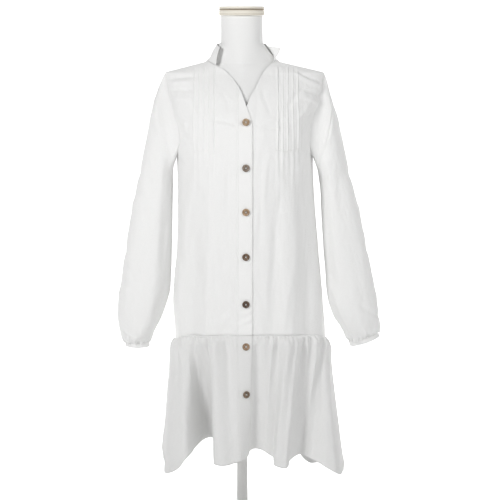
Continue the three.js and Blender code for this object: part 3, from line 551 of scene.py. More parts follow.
def back_top(x: Array, side: int) -> Array:
    """Upper edge of the back panel above a given x.

    Args:
        x: place across.
        side: -1 for the left and 1 for the right.

    Returns:
        The height.
    """
    across = (x - BODICE.rows[-1][1]) / BODICE.rows[-1][2]
    neck = NECK_Z + BACK_NECK_RISE * (1 - across**2)
    return np.where(np.abs(across) >= 1, shoulder_height(x, side), neck)


def armhole_at(share: Array) -> tuple[Array, Array]:
    """Angle and height of the armhole at a share of the way from underarm to shoulder."""
    packed = 1 - (1 - share) ** ARMHOLE_PACKING
    return ARMHOLE.smooth("angle", packed), ARMHOLE.smooth("z", packed)


def row_height(share: Array) -> Array:
    """Share of a panel's height reached at a share of its rows."""
    return 1 - (1 - share) ** ROW_PACKING


def half_places(rows: Array, x: Array, side: int, side_steps: int, on_back: bool) -> tuple[Array, Array]:
    """Angles and heights of a half panel's grid, from its inner edge to its side edge.

    Args:
        rows: shares of the rows, from the waist to the top.
        x: places of the inner columns.
        side: -1 for the left and 1 for the right.
        side_steps: number of columns from the last x to the side edge.
        on_back: whether it is the back.

    Returns:
        Angles and heights, each as rows x columns.
    """
    top = (back_top if on_back else front_top)(x, side)[None, :]
    share = row_height(rows)[:, None]
    z = top + 0 * share
    angle = np.zeros_like(z)
    for _ in range(6):
        angle = angle_of_x(x[None, :], np.minimum(z, NECK_Z))
        if on_back:
            angle = wrapped(180 - angle)
        z = mix(WAIST.smooth("z", angle), top, share)
    start = np.abs(wrapped(180 - angle[:, -1])) if on_back else np.abs(angle[:, -1])
    low = row_height(rows) / row_height(np.array(UNDERARM_SHARE))
    seam_z = mix(WAIST.smooth("z", np.array(90.0 * side)), UNDERARM_Z, low)
    up = np.clip((rows - UNDERARM_SHARE) / (1 - UNDERARM_SHARE), 0, 1)
    hole_angle, hole_z = armhole_at(up)
    below = rows <= UNDERARM_SHARE
    edge_angle = np.where(below, 90.0, hole_angle)
    edge_z = np.where(below, seam_z, hole_z)
    step = (np.arange(1, side_steps + 1) / side_steps)[None, :]
    size = mix(start[:, None], edge_angle[:, None], step)
    side_angle = side * (180 - size if on_back else size)
    side_z = mix(z[:, -1:], edge_z[:, None], step)
    return np.hstack([angle, side_angle]), np.hstack([z, side_z])


def sleeve_oval(table: Table, turn: Array, share: Array) -> Array:
    """Point of a sleeve's plain oval section.

    Args:
        table: the sleeve's sections.
        turn: share of the way round, from the underarm up the front.
        share: share of the way down.

    Returns:
        Points with xyz last.
    """
    position = share * (len(table.rows) - 1)
    value = {name: table.rounded(name, position) for name in SLEEVE_COLUMNS}
    across = 0.5 - 0.5 * power(np.cos(2 * np.pi * turn), 2 / SLEEVE_SQUARE)
    around = power(np.sin(2 * np.pi * turn), 2 / SLEEVE_SQUARE)
    x = mix(value["inX"], value["outX"], across)
    z = mix(value["inZ"], value["outZ"], across)
    return np.stack([x, value["y"] - value["depth"] * around, z], axis=-1)


def armhole_point(turn: Array, side: int, tuck: float = 0.0) -> Array:
    """Point of the armhole at a turn from the underarm, up the front and down the back.

    Args:
        turn: share of the way round.
        side: -1 for the left and 1 for the right.
        tuck: how far the point lies in under the bodice, in mm.

    Returns:
        Points of the same shape with xyz last.
    """
    turn = turn - np.floor(turn)
    angle, z = armhole_at(np.where(turn > 0.5, 2 - 2 * turn, 2 * turn))
    angle = angle - TUCK_TURN * tuck * np.abs(np.sin(2 * np.pi * turn))
    z = z - tuck * np.cos(2 * np.pi * turn)
    return bodice_point(side * np.where(turn > 0.5, 180 - angle, angle), z, -TUCK_DEPTH * tuck)


def sleeve_surface(side: int, turn: Array, share: Array) -> Array:
    """The sleeve's outside: it leaves the armhole outwards and turns down into the hanging oval.

    Args:
        side: -1 for the left and 1 for the right.
        turn: share of the way round, from the underarm up the front.
        share: share of the way down.

    Returns:
        Points with xyz last.
    """
    table = SLEEVE_LEFT if side < 0 else SLEEVE_RIGHT
    oval = sleeve_oval(table, turn, share)
    edge = armhole_point(turn, side)
    join = np.full_like(share, HEAD_SHARE)
    end = sleeve_oval(table, turn, join)
    run = (sleeve_oval(table, turn, join + 0.01) - sleeve_oval(table, turn, join - 0.01)) / 0.02 * HEAD_SHARE
    leave = np.array([side * HEAD_OUT, 0.0, -HEAD_DOWN])
    t = np.clip(share / HEAD_SHARE, 0, 1)[..., None]
    head = (1 + 2 * t) * (1 - t) ** 2 * edge + t * (1 - t) ** 2 * leave
    head = head + t * t * (3 - 2 * t) * end - t * t * (1 - t) * run
    point = np.where(t < 1, head, oval)
    quarter = np.full_like(turn, 0.25)
    middle = 0.5 * (sleeve_oval(table, quarter, share) + sleeve_oval(table, 3 * quarter, share))
    out = point - middle
    out /= np.linalg.norm(out, axis=-1, keepdims=True)
    grown = ease((share - 0.12) / 0.4) * (1 - ease((share - 0.86) / 0.12))
    lift = np.zeros_like(turn)
    for at, swell, spread in SLEEVE_FOLDS.rows:
        lift += swell * bump(turn - at - 0.04 * np.sin(4 * share + 9 * at), spread)
    return point + out * (lift * grown)[..., None]


def skirt_surface(position: Array, share: Array) -> Array:
    """The skirt's outside.

    Args:
        position: row number in the skirt's table, with fractions.
        share: share of the way from the waist to the hem.

    Returns:
        Points with xyz last.
    """
    angle = wrapped(SKIRT.rounded("angle", position, closed=True))
    seam_z = WAIST.smooth("z", angle)
    puff = SKIRT_PUFF * ease(share / SKIRT_PUFF_DEPTH)
    top = bodice_point(angle, seam_z, puff)
    top[..., 2] -= SKIRT_DROP
    hem = np.stack([SKIRT.rounded(name, position, closed=True) for name in "xyz"], axis=-1)
    return mix(top, hem, share[..., None])


# Wrinkles


CREASE_COLUMNS = ("x", "z", "endX", "endZ", "height", "spread", "bow")
CREASE_END = 0.3  # share of its length over which a crease fades at each end


def creases_lift(creases: Table, u: Array, v: Array) -> Array:
    """Height of a panel's creases: soft ridges, or troughs where the height is negative.

    Args:
        creases: a row for each crease, in mm.
        u: first coordinate of the panel's places, in mm.
        v: second coordinate.

    Returns:
        The lift at each place.
    """
    lift = np.zeros(np.broadcast(u, v).shape)
    for x, z, end_x, end_z, height, spread, bow in creases.rows:
        run_x, run_z = end_x - x, end_z - z
        length = math.hypot(run_x, run_z)
        along = ((u - x) * run_x + (v - z) * run_z) / length**2
        off = ((v - z) * run_x - (u - x) * run_z) / length
        swing = bow * np.sin(np.pi * np.clip(along, 0, 1))
        fade = ease(along / CREASE_END) * ease((1 - along) / CREASE_END)
        lift += height * fade * bump(off - swing, spread)
    return lift


def crumple(points: Array, seed: int, size: float, height: float) -> Array:
    """Uneven waves of worn cotton with sharp ridges, longer down the body than across it.

    Args:
        points: places in mm, with xyz last.
        seed: fixes the pattern.
        size: usual distance between waves across, in mm.
        height: usual height of a wave, in mm.

    Returns:
        The lift at each place.
    """
    random = np.random.default_rng(seed)
    lift = np.zeros(points.shape[:-1])
    waves = 14
    for _ in range(waves):
        turn = random.normal(0, 0.5)
        length = size * random.uniform(0.7, 1.9)
        heading = np.array([math.cos(turn), random.normal(0, 0.5), math.sin(turn) * 0.55])
        warp = 0.6 * np.sin(points[..., 2] / (size * 2.3) + random.uniform(0, 6))
        phase = points @ heading * (2 * math.pi / length) + random.uniform(0, 6.28) + warp
        lift += 1 - 2 * np.abs(np.sin(phase / 2)) ** 0.8
    return lift * height / math.sqrt(waves)


def gathers(across: Array, down: Array, seed: int, pitch: float, height: float, reach: float) -> Array:
    """Gathers of uneven width and length that fade away from a seam.

    Args:
        across: distance along the seam, in mm.
        down: distance from the seam, in mm.
        seed: fixes the pattern.
        pitch: usual distance between gathers.
        height: usual height.
        reach: usual length.

    Returns:
        The lift at each place.
    """
    random = np.random.default_rng(seed)
    low, high = float(across.min()), float(across.max())
    lift = np.zeros(np.broadcast(across, down).shape)
    at = low + pitch * 0.5
    while at < high - pitch * 0.3:
        long = reach * random.uniform(0.35, 1.9)
        lean = random.normal(0, 0.05)
        spread = pitch * random.uniform(0.3, 0.48) * (1 + down / (long * 1.6))
        fade = ease(down / 4) * np.exp(-((down / long) ** 1.5))
        lift += height * random.uniform(0.5, 1.3) * fade * bump(across - at - lean * down, spread)
        at += pitch * random.uniform(0.75, 1.3)
    return lift - 0.3 * height * ease(down / 4) * np.exp(-down / reach)


# Meshes


def mesh_object(
    name: str, points: Array, faces: Array | list[list[int]], uv: Array | None = None, smooth: bool = True
) -> bpy.types.Object:
    """Mesh object at the origin from points in millimetres.

    Args:
        name: the object's name.
        points: n x 3.
        faces: the point numbers of each face.
        uv: n x 2 places on the flat cloth in millimetres, or none.
        smooth: whether its faces are shaded smooth.

    Returns:
        The object, linked to the scene.
    """
    mesh = bpy.data.meshes.new(name)
    listed = faces.tolist() if isinstance(faces, np.ndarray) else faces
    mesh.from_pydata((np.asarray(points) * MM).tolist(), [], listed)
    mesh.polygons.foreach_set("use_smooth", [smooth] * len(mesh.polygons))
    if uv is not None:
        layer = mesh.uv_layers.new(name="UVMap")
        loops = np.empty(len(mesh.loops), dtype=np.int32)
        mesh.loops.foreach_get("vertex_index", loops)
        layer.data.foreach_set("uv", (uv[loops] * MM).ravel())
    mesh.update()
    return linked(name, mesh)


def linked(name: str, mesh: bpy.types.Mesh) -> bpy.types.Object:
    """Object at the origin that holds a mesh, linked to the scene.

    Args:
        name: the object's name.
        mesh: its mesh.

    Returns:
        The object.
    """
    piece = bpy.data.objects.new(name, mesh)
    bpy.context.scene.collection.objects.link(piece)
    return piece


def evaluated_mesh(piece: bpy.types.Object) -> bpy.types.Mesh:
    """A plain mesh of an object as its modifiers leave it.

    Args:
        piece: an object with modifiers.

    Returns:
        The new mesh.
    """
    return bpy.data.meshes.new_from_object(piece.evaluated_get(bpy.context.evaluated_depsgraph_get()))


def quads(rows: int, columns: int, closed: bool) -> Array:
    """Faces of a grid of points.

    Args:
        rows: number of rows.
        columns: number of columns.
        closed: whether the last column leads back to the first.

    Returns:
        Point numbers, four to a face.
    """
    cells = columns if closed else columns - 1
    j, i = np.meshgrid(np.arange(rows - 1), np.arange(cells), indexing="ij")
    a, b = (j * columns + i).ravel(), (j * columns + (i + 1) % columns).ravel()
    return np.stack([a, b, b + columns, a + columns], 1)


def tube_faces(rows: int, columns: int, start: int = 0) -> list[list[int]]:
    """Faces of a tube of rings with a flat cap at each end.

    Args:
        rows: number of rings.
        columns: points in a ring.
        start: number of the first point.

    Returns:
        The point numbers of each face.
    """
    faces = (start + quads(rows, columns, closed=True)).tolist()
    faces.append([start + k for k in reversed(range(columns))])
    faces.append([start + (rows - 1) * columns + k for k in range(columns)])
    return faces


def shell_object(name: str, outer: Array, inner: Array, closed: bool = False) -> bpy.types.Object:
    """Closed thin shell between two grids of points.

    Args:
        name: the object's name.
        outer: outside grid, rows x columns x xyz, in mm.
        inner: inside grid of the same shape.
        closed: whether the last column leads back to the first.

    Returns:
        The object.
    """
    rows, columns = outer.shape[:2]
    start = rows * columns
    skin = quads(rows, columns, closed)
    near = np.arange(columns if closed else columns - 1)
    far = (near + 1) % columns
    top = (rows - 1) * columns
    faces = [
        skin,
        start + skin[:, [0, 3, 2, 1]],
        np.stack([far, near, near + start, far + start], 1),
        np.stack([top + near, top + far, top + far + start, top + near + start], 1),
    ]
    if not closed:
        low = np.arange(rows - 1) * columns
        faces.append(np.stack([low, low + columns, low + columns + start, low + start], 1))
        low = low + columns - 1
        faces.append(np.stack([low + columns, low, low + start, low + columns + start], 1))
    faces = np.vstack(faces)
    points = np.vstack([outer.reshape(-1, 3), inner.reshape(-1, 3)])
    p = points[faces]
    volume = np.einsum("ij,ij->i", p[:, 0], np.cross(p[:, 1], p[:, 2])).sum()
    volume += np.einsum("ij,ij->i", p[:, 0], np.cross(p[:, 2], p[:, 3])).sum()
    if volume < 0:
        faces = faces[:, ::-1]
    across = np.cumsum(np.linalg.norm(np.diff(outer, axis=1), axis=-1), axis=1)
    u = np.hstack([np.zeros((rows, 1)), across])
    u -= u[:, columns // 2 : columns // 2 + 1]
    down = np.cumsum(np.linalg.norm(np.diff(outer, axis=0), axis=-1), axis=0)
    v = np.vstack([np.zeros((1, columns)), down])
    uv = np.stack([u, v], -1).reshape(-1, 2)
    return mesh_object(name, points, faces, np.vstack([uv, uv]))


def flat_size(grid: Array, closed: bool = False) -> tuple[float, float, float]:
    """Width, length and area of the cloth that a grid stands for, in metres.

    Args:
        grid: rows x columns x xyz, in mm.
        closed: whether the last column leads back to the first.

    Returns:
        The widest row, the longest column and the area.
    """
    if closed:
        grid = np.concatenate([grid, grid[:, :1]], axis=1)
    across = np.diff(grid, axis=1)
    down = np.diff(grid, axis=0)
    area = np.linalg.norm(np.cross(across[:-1], down[:, :-1]), axis=-1).sum()
    width = np.linalg.norm(across, axis=-1).sum(axis=1).max()
    length = np.linalg.norm(down, axis=-1).sum(axis=0).max()
    return width * MM, length * MM, area * MM * MM


def turned_object(name: str, profile: Outline, sides: int) -> bpy.types.Object:
    """Solid of revolution about the Z axis.

    Args:
        name: the object's name.
        profile: its outline as (radius, z) points in mm, from one end of the axis to the other.
        sides: number of sides round it.

    Returns:
        The object.
    """
    angle = np.arange(sides) * 2 * np.pi / sides
    rings = [
        np.stack([radius * np.cos(angle), radius * np.sin(angle), np.full(sides, z)], 1)
        for radius, z in profile[1:-1]
    ]
    points = np.vstack([[[0.0, 0.0, profile[0][1]]], *rings, [[0.0, 0.0, profile[-1][1]]]])
    near = np.arange(sides)
    far = (near + 1) % sides
    last = len(points) - 1
    top = last - sides
    faces = (1 + quads(len(rings), sides, closed=True)).tolist()
    faces += np.stack([0 * near, 1 + far, 1 + near], 1).tolist()
    faces += np.stack([top + near, top + far, last + 0 * near], 1).tolist()
    return mesh_object(name, points, faces)


# Finishes


def linear(colour: str) -> tuple[float, float, float, float]:
    """Linear colour from an sRGB one.

    Args:
        colour: six hex digits, such as "f2f2f0".

    Returns:
        Red, green, blue and an alpha of 1.
    """
    parts = [int(colour[i : i + 2], 16) / 255 for i in (0, 2, 4)]
    values = [c / 12.92 if c <= 0.04045 else ((c + 0.055) / 1.055) ** 2.4 for c in parts]
    return (values[0], values[1], values[2], 1.0)


class Graph:
    """A material's node tree with a short way to add and link nodes."""

    def __init__(self, name: str) -> None:
        """Make a material with an empty tree and its Principled shader.

        Args:
            name: the material's name.
        """
        self.material = bpy.data.materials.new(name)
        self.material.use_nodes = True
        self.tree = self.material.node_tree
        self.tree.nodes.clear()
        self.output = self.add("ShaderNodeOutputMaterial")
        self.shader = self.add("ShaderNodeBsdfPrincipled")
        self.tree.links.new(self.shader.outputs["BSDF"], self.output.inputs["Surface"])

    def add(
        self, kind: str, links: dict | None = None, values: dict | None = None, **settings: object
    ) -> bpy.types.Node:
        """Add a node.

        Args:
            kind: Blender's name of the node.
            links: input name or number to the socket that feeds it.
            values: input name or number to its value.
            settings: properties of the node.

        Returns:
            The node.
        """
        node = self.tree.nodes.new(kind)
        for key, value in settings.items():
            setattr(node, key, value)
        for key, value in (values or {}).items():
            node.inputs[key].default_value = value
        for key, socket in (links or {}).items():
            self.tree.links.new(socket, node.inputs[key])
        return node

    def feed(self, name: str, socket: bpy.types.NodeSocket) -> None:
        """Link a socket to the shader's input of that name."""
        self.tree.links.new(socket, self.shader.inputs[name])

    def constants(self, values: dict) -> None:
        """Set the shader's own inputs, by name."""
        for key, value in values.items():
            self.shader.inputs[key].default_value = value

    def math(self, operation: str, a: object, b: object = 0.0) -> bpy.types.NodeSocket:
        """Work out a sum on two sockets or numbers.

        Args:
            operation: Blender's name of the sum.
            a: the first socket or number.
            b: the second one.

        Returns:
            The result.
        """
        links = {k: v for k, v in ((0, a), (1, b)) if isinstance(v, bpy.types.NodeSocket)}
        values = {k: v for k, v in ((0, a), (1, b)) if not isinstance(v, bpy.types.NodeSocket)}
        return self.add("ShaderNodeMath", links, values, operation=operation).outputs[0]

    def noise(
        self,
        place: bpy.types.NodeSocket,
        rate: float,
        detail: float,
        roughness: float = 0.5,
        distortion: float = 0.0,
    ) -> bpy.types.NodeSocket:
        """Add cloudy noise.

        Args:
            place: the coordinates that it is read at.
            rate: clouds in a metre.
            detail: number of finer layers.
            roughness: strength of the finer layers.
            distortion: how far it is stirred.

        Returns:
            Its value, from 0 to 1.
        """
        values = {"Scale": rate, "Detail": detail, "Roughness": roughness, "Distortion": distortion}
        return self.add("ShaderNodeTexNoise", {"Vector": place}, values).outputs["Fac"]

    def dye(self, share: bpy.types.NodeSocket, shade: str, colour: str) -> None:
        """Feed the base colour.

        Args:
            share: 0 gives the shade and 1 the colour.
            shade: sRGB hex.
            colour: sRGB hex.
        """
        ends = {6: linear(shade), 7: linear(colour)}
        self.feed("Base Color", self.add("ShaderNodeMix", {0: share}, ends, data_type="RGBA").outputs[2])

    def roughen(self, share: bpy.types.NodeSocket, low: float, high: float) -> None:
        """Feed the roughness, from low to high as the share goes from 0 to 1."""
        self.feed("Roughness", self.add("ShaderNodeMapRange", {0: share}, {3: low, 4: high}).outputs[0])

    def relief(
        self,
        height: bpy.types.NodeSocket,
        strength: float,
        depth: float,
        under: bpy.types.NodeSocket | None = None,
    ) -> bpy.types.NodeSocket:
        """Add fine relief.

        Args:
            height: the pattern.
            strength: share of the relief that shows.
            depth: its full depth in mm.
            under: coarser relief that it lies on, or none.

        Returns:
            The bent normal.
        """
        links = {"Height": height} if under is None else {"Height": height, "Normal": under}
        return self.add("ShaderNodeBump", links, {"Strength": strength, "Distance": depth * MM}).outputs[0]


@dataclass(frozen=True)
class CottonFinish:
    """Plain-weave cotton voile with fine creases."""

    name: str
    colour: str
    shade: str
    crease: float = 0.55  # strength of the creases
    weave: float = 0.12  # strength of the weave
    thread: float = 0.45  # mm between threads
    slub_rate: float = 420.0  # slubs in a metre, one each 2.4 mm
    crease_rate: float = 34.0  # soft creases in a metre, one each 29 mm
    wrinkle_rate: float = 110.0  # small wrinkles in a metre, one each 9 mm
    crease_depth: float = 2.2
    wrinkle_depth: float = 0.8
    thread_depth: float = 0.2

    def make(self) -> bpy.types.Material:
        """Build the material: threads on small wrinkles on soft creases.

        Returns:
            The material.
        """
        graph = Graph(self.name)
        where = graph.add("ShaderNodeTexCoord")
        flat = graph.add("ShaderNodeSeparateXYZ", {0: where.outputs["UV"]})
        rate = 2 * math.pi / (self.thread * MM)
        warp = graph.math("SINE", graph.math("MULTIPLY", flat.outputs["X"], rate))
        weft = graph.math("SINE", graph.math("MULTIPLY", flat.outputs["Y"], rate))
        weave = graph.math("MULTIPLY", warp, weft)
        place = where.outputs["Object"]
        slub = graph.noise(place, self.slub_rate, 3.0)
        broad = graph.noise(place, self.crease_rate, 5.0, 0.62, 0.6)
        fine = graph.noise(place, self.wrinkle_rate, 4.0, 0.6, 1.2)
        graph.dye(slub, self.shade, self.colour)
        soft = graph.relief(broad, self.crease, self.crease_depth)
        small = graph.relief(fine, self.crease * 0.5, self.wrinkle_depth, soft)
        graph.feed("Normal", graph.relief(weave, self.weave, self.thread_depth, small))
        graph.roughen(slub, 0.78, 0.95)
        graph.constants({"Sheen Weight": 0.25, "Sheen Roughness": 0.5, "Specular IOR Level": 0.2})
        return graph.material


@dataclass(frozen=True)
class ShellFinish:
    """Mottled brown button shell, lighter and darker in soft clouds."""

    name: str
    light: str
    dark: str
    seed: float
    cloud_rate: float = 160.0  # clouds in a metre, one each 6 mm
    fleck_rate: float = 900.0  # flecks in a metre, one each 1.1 mm
    flatten: float = 0.45  # clouds are longer through the button
    dark_end: float = 0.36
    light_end: float = 0.64

    def make(self) -> bpy.types.Material:
        """Build the material: flecked clouds with a satin coat.

        Returns:
            The material.
        """
        graph = Graph(self.name)
        where = graph.add("ShaderNodeTexCoord")
        shifted = graph.add(
            "ShaderNodeMapping",
            {"Vector": where.outputs["Object"]},
            {"Location": (self.seed, self.seed * 0.7, 0.0), "Scale": (1.0, 1.0, self.flatten)},
        ).outputs[0]
        cloud = graph.noise(shifted, self.cloud_rate, 4.0, distortion=1.8)
        fleck = graph.noise(shifted, self.fleck_rate, 2.0)
        spread = graph.math("ADD", cloud, graph.math("MULTIPLY", fleck, 0.25))
        ramp = graph.add("ShaderNodeValToRGB", {0: graph.math("SUBTRACT", spread, 0.12)})
        ends = ((self.dark_end, self.dark), (self.light_end, self.light))
        for stop, (position, colour) in zip(ramp.color_ramp.elements, ends):
            stop.position = position
            stop.color = linear(colour)
        graph.feed("Base Color", ramp.outputs[0])
        graph.feed("Normal", graph.relief(fleck, 0.15, 0.2))
        graph.constants({"Roughness": 0.38, "Coat Weight": 0.2, "Coat Roughness": 0.25})
        return graph.material


@dataclass(frozen=True)
class PlainFinish:
    """Smooth surface with faint grain: jersey cover, thread or paint."""

    name: str
    colour: str
    shade: str
    roughness: float
    grain: float = 600.0  # grains in a metre, one each 1.7 mm
    relief: float = 0.1
    sheen: float = 0.0
    unevenness: float = 0.05  # how far the roughness varies

    def make(self) -> bpy.types.Material:
        """Build the material.

        Returns:
            The material.
        """
        graph = Graph(self.name)
        grain = graph.noise(graph.add("ShaderNodeTexCoord").outputs["Object"], self.grain, 3.0)
        graph.dye(grain, self.shade, self.colour)
        graph.feed("Normal", graph.relief(grain, self.relief, 0.3))
        graph.roughen(grain, self.roughness - self.unevenness, self.roughness + self.unevenness)
        graph.constants({"Sheen Weight": self.sheen})
        return graph.material


def made_by(finish: CottonFinish | PlainFinish) -> bpy.types.Material:
    """Dataclass field whose material is made by a finish."""
    return field(default_factory=finish.make)


class Slot(Enum):
    """Material slots of the record."""

    COTTON = "cotton"
    BAND = "cotton_band"
    BUTTON = "button"
    FORM = "form_cover"
    CAP = "cap_trim"
    STAND = "stand"


@dataclass
class Finishes:
    """All materials of the object but the buttons' own."""

    # White cloth over the form: bright, matt, with soft creases and a hint of weave.
    cotton: bpy.types.Material = made_by(CottonFinish("cotton", "f6f6f5", "efefee"))
    # Two stitched layers: a little brighter and flatter than one.
    band: bpy.types.Material = made_by(CottonFinish("cotton_band", "f8f8f7", "f2f2f1", crease=0.35))
    # Cloth with nothing behind it: a darker copy of the cotton, with painted shade for the light that passes
    # through it and is not sent back by a form behind.
    single: bpy.types.Material = made_by(CottonFinish("cotton_single_shaded", "ececeb", "e4e4e3"))
    # Sewing thread: slightly greyer than the cloth, so that rows of stitches show up close.
    thread: bpy.types.Material = made_by(PlainFinish("thread", "ececea", "dededc", 0.7, relief=0.3))
    # The form's jersey: even, matt and a little greyer than the dress.
    cover: bpy.types.Material = made_by(
        PlainFinish("form_cover", "f4f4f3", "ebebea", 0.75, grain=900.0, sheen=0.15)
    )
    # Cream ribbon round the cap: the one warm tone above the collar.
    trim: bpy.types.Material = made_by(
        PlainFinish("cap_trim", "f4f0e6", "e8e1d2", 0.8, grain=700.0, relief=0.4)
    )
    # Bottom of the cap's groove: a dark line between cream edges.
    groove: bpy.types.Material = made_by(PlainFinish("cap_groove", "6b5c49", "4c4033", 0.5))
    # Beads in the groove: a dotted tan line.
    bead: bpy.types.Material = made_by(PlainFinish("cap_bead", "b5a58c", "8d7d66", 0.45, relief=0.2))
    # The stand's paint: satin white with soft highlights.
    paint: bpy.types.Material = made_by(
        PlainFinish("white_paint", "f1f1ef", "e9e9e7", 0.35, grain=1200.0, relief=0.06)
    )


# Pieces


def solid_object(node: str) -> bpy.types.Object:
    """Object that carries a solid.

    Args:
        node: the solid's name.

    Returns:
        Its object, whose name may have something before the solid's.
    """
    if node in bpy.data.objects:
        return bpy.data.objects[node]
    return next(piece for piece in bpy.data.objects if piece.name.endswith(node))


def finish_piece(
    piece: bpy.types.Object, material: bpy.types.Material, nodes: tuple[str, ...] = ()
) -> None:
    """Give a piece its material and body, and hide the solids that it stands for.

    Args:
        piece: the object.
        material: its material.
        nodes: names of the solids that it replaces.
    """
    piece.data.materials.clear()
    piece.data.materials.append(material)
    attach(piece, "root")
    if nodes:
        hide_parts(*nodes)
    log.info("%s: %d points, %d faces", piece.name, len(piece.data.vertices), len(piece.data.polygons))


class StitchRun:
    """Geometry nodes that lay a row of stitches along a line."""

    inputs = (
        ("Line", "NodeSocketGeometry"),
        ("Pitch", "NodeSocketFloat"),
        ("Stitch length", "NodeSocketFloat"),
        ("Thread radius", "NodeSocketFloat"),
        ("Thread", "NodeSocketMaterial"),
    )
    thread_sides = 6
    stitch_share = 0.72  # share of the pitch that a stitch fills

    def __init__(self) -> None:
        """Build the node group with its named inputs."""
        self.group = bpy.data.node_groups.new("stitch_run", "GeometryNodeTree")
        for name, kind in self.inputs:
            self.group.interface.new_socket(name, in_out="INPUT", socket_type=kind)
        self.group.interface.new_socket("Stitches", in_out="OUTPUT", socket_type="NodeSocketGeometry")
        given = self.node("NodeGroupInput").outputs
        curve = self.node("GeometryNodeMeshToCurve", {0: given["Line"]})
        spaced = {"Curve": curve.outputs[0], "Length": given["Pitch"]}
        even = self.node("GeometryNodeResampleCurve", spaced, mode="LENGTH")
        spots = self.node("GeometryNodeCurveToPoints", {"Curve": even.outputs[0]}, mode="EVALUATED").outputs
        sizes = {"Radius": given["Thread radius"], "Depth": given["Stitch length"]}
        stitch = self.node("GeometryNodeMeshCylinder", sizes)
        stitch.inputs["Vertices"].default_value = self.thread_sides
        turn = self.node("FunctionNodeAlignEulerToVector", {"Vector": spots["Tangent"]}, axis="Z")
        places = {"Points": spots["Points"], "Instance": stitch.outputs["Mesh"], "Rotation": turn.outputs[0]}
        laid = self.node("GeometryNodeInstanceOnPoints", places)
        real = self.node("GeometryNodeRealizeInstances", {0: laid.outputs[0]})
        laid_out = {"Geometry": real.outputs[0], "Material": given["Thread"]}
        dyed = self.node("GeometryNodeSetMaterial", laid_out)
        self.node("NodeGroupOutput", {0: dyed.outputs[0]})

    def node(self, kind: str, links: dict | None = None, **settings: object) -> bpy.types.Node:
        """Add a node to the group.

        Args:
            kind: Blender's name of the node.
            links: input name or number to the socket that feeds it.
            settings: properties of the node.

        Returns:
            The node.
        """
        made = self.group.nodes.new(kind)
        for key, value in settings.items():
            setattr(made, key, value)
        for key, socket in (links or {}).items():
            self.group.links.new(socket, made.inputs[key])
        return made

    def lay(
        self,
        name: str,
        lines: list[Array],
        thread: bpy.types.Material,
        pitch: float = 2.6,
        radius: float = 0.22,
    ) -> bpy.types.Object:
        """Lay stitches along lines.

        Args:
            name: the object's name.
            lines: each line's points in mm.
            thread: the thread's material.
            pitch: from stitch to stitch, in mm.
            radius: the thread's radius, in mm.

        Returns:
            A mesh object of stitches.
        """
        points = np.vstack(lines)
        starts = np.cumsum([0] + [len(line) for line in lines[:-1]])
        edges = [(int(s) + k, int(s) + k + 1) for s, line in zip(starts, lines) for k in range(len(line) - 1)]
        mesh = bpy.data.meshes.new(name + "_line")
        mesh.from_pydata((points * MM).tolist(), edges, [])
        holder = linked(name + "_line", mesh)
        modifier = holder.modifiers.new("stitches", "NODES")
        modifier.node_group = self.group
        values = {
            "Pitch": pitch * MM,
            "Stitch length": pitch * self.stitch_share * MM,
            "Thread radius": radius * MM,
            "Thread": thread,
        }
        for item in self.group.interface.items_tree:
            if item.in_out == "INPUT" and item.name in values:
                modifier[item.identifier] = values[item.name]
        made = evaluated_mesh(holder)
        holder.modifiers.remove(modifier)
        bpy.data.objects.remove(holder)
        made.name = name
        made.polygons.foreach_set("use_smooth", [True] * len(made.polygons))
        return linked(name, made)


# Pieces whose grid runs so that its normals point into the dress.
INWARD = {
    "bodice_front_left",
    "bodice_back",
    "collar_stand",
    "sleeve_right",
    "cuff_right",
    "skirt_front_left",
    "skirt_front_right",
    "skirt_back",
    "button_band_skirt",
}


@dataclass
class Cloth:
    """One cut piece of cloth, made as a shell over a grid."""

    name: str
    node: str
    slot: Slot
    held: str
    rests_on: tuple[str, ...]
    piece: bpy.types.Object | None = None
    outer: Array | None = None

    def build(
        self,
        base: Array,
        lift: Array,
        crisp: Array | float,
        material: bpy.types.Material,
        closed: bool = False,
    ) -> None:
        """Make the shell and dress it.

        Args:
            base: the plain surface's grid, in mm.
            lift: wrinkles, in mm along the normal, in both faces.
            crisp: stitched relief, in mm along the normal, on the outside alone.
            material: the cloth's material.
            closed: whether the piece is a tube.
        """
        normal = normals_of(base, closed)
        if self.node in INWARD:
            normal = -normal
        middle = base + normal * lift[..., None]
        self.outer = middle + normal * np.broadcast_to(np.asarray(crisp, dtype=float), lift.shape)[..., None]
        self.piece = shell_object(self.name, self.outer, middle - normal * CLOTH, closed)
        finish_piece(self.piece, material, (self.node,))

    def declare(self, closed: bool = False, width: float | None = None) -> None:
        """Args:
            closed: whether the piece is a tube.
            width: the cut width in metres where an end is slanted, or none for the widest row.
        """
        widest, length, area = flat_size(self.outer, closed)
        width = width or widest


